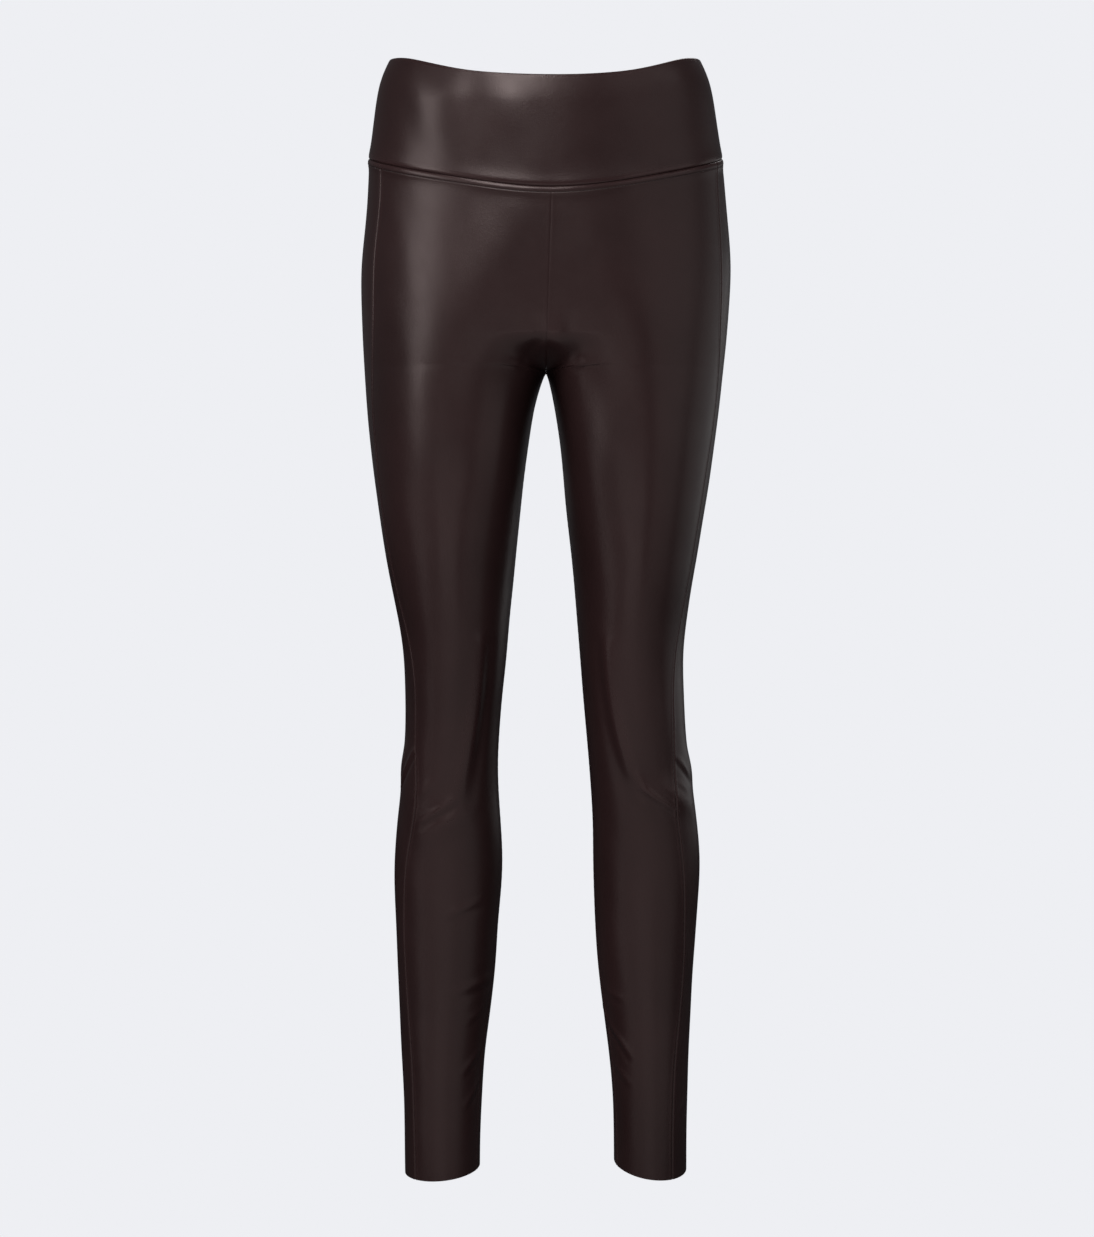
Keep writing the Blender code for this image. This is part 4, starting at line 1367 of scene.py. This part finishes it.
def build_leg(leg, materials, thread):
    stitch_row = TOP_OFFSETS.index(STITCH_DROP)
    for cut in LEG_CUTS:
        node = f"{cut.name}_{leg.name}"
        panel = leg_panel(leg, cut)
        piece = add_shell(f"{node}_cloth", panel, 0.0, LEG_CLOTH, materials)
        line = panel.sheet.outside[stitch_row]
        lines = stitches_along(line, -panel.sheet.inward[stitch_row])
        stitches = add_stitches(f"{node}_topstitch", lines, thread)
        finish_piece(piece, node, [stitches])


def build_band(materials, thread):
    rows = band_rows()
    outer_depth = rows.outer_depth[:, None, None]
    inner_depth = rows.inner_depth[:, None, None]
    for cut in BAND_CUTS:
        node = f"waistband_{cut.name}"
        panel = band_piece(cut, rows)
        piece = add_shell(f"{node}_cloth", panel, outer_depth, inner_depth, materials)
        tacks = []
        if cut.name == "front":
            tacks.append(add_stitches("waistband_front_tacks", tacks_on(panel), thread))
        finish_piece(piece, node, tacks)


def build():
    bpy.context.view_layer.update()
    coated = coated_cloth("coated_cloth", BROWN, LEG_ROUGHNESS)
    doubled = coated_cloth("coated_cloth_doubled", BROWN, BAND_ROUGHNESS)
    backing = knit_backing("knit_backing", BACKING_BROWN)
    edge = cut_edge("cut_edge", EDGE_BROWN)
    thread = sewing_thread("sewing_thread", THREAD_BROWN)
    # Pale tack thread: a painted highlight.
    tack_thread_painted_highlight = sewing_thread("tack_thread_painted_highlight", TACK_PAINTED_HIGHLIGHT)
    for leg in (LEFT, RIGHT):
        build_leg(leg, (coated, backing, edge), thread)
    build_band((doubled, backing, doubled), tack_thread_painted_highlight)
    add_floor()
    light_world()
    add_lights()
    add_camera()
    bpy.context.scene.view_settings.view_transform = "Standard"


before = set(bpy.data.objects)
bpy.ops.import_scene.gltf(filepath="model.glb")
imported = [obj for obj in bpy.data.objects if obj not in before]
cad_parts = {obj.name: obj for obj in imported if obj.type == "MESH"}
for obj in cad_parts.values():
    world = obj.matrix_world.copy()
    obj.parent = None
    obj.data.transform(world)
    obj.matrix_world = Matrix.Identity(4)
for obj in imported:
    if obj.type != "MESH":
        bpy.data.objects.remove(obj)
build()
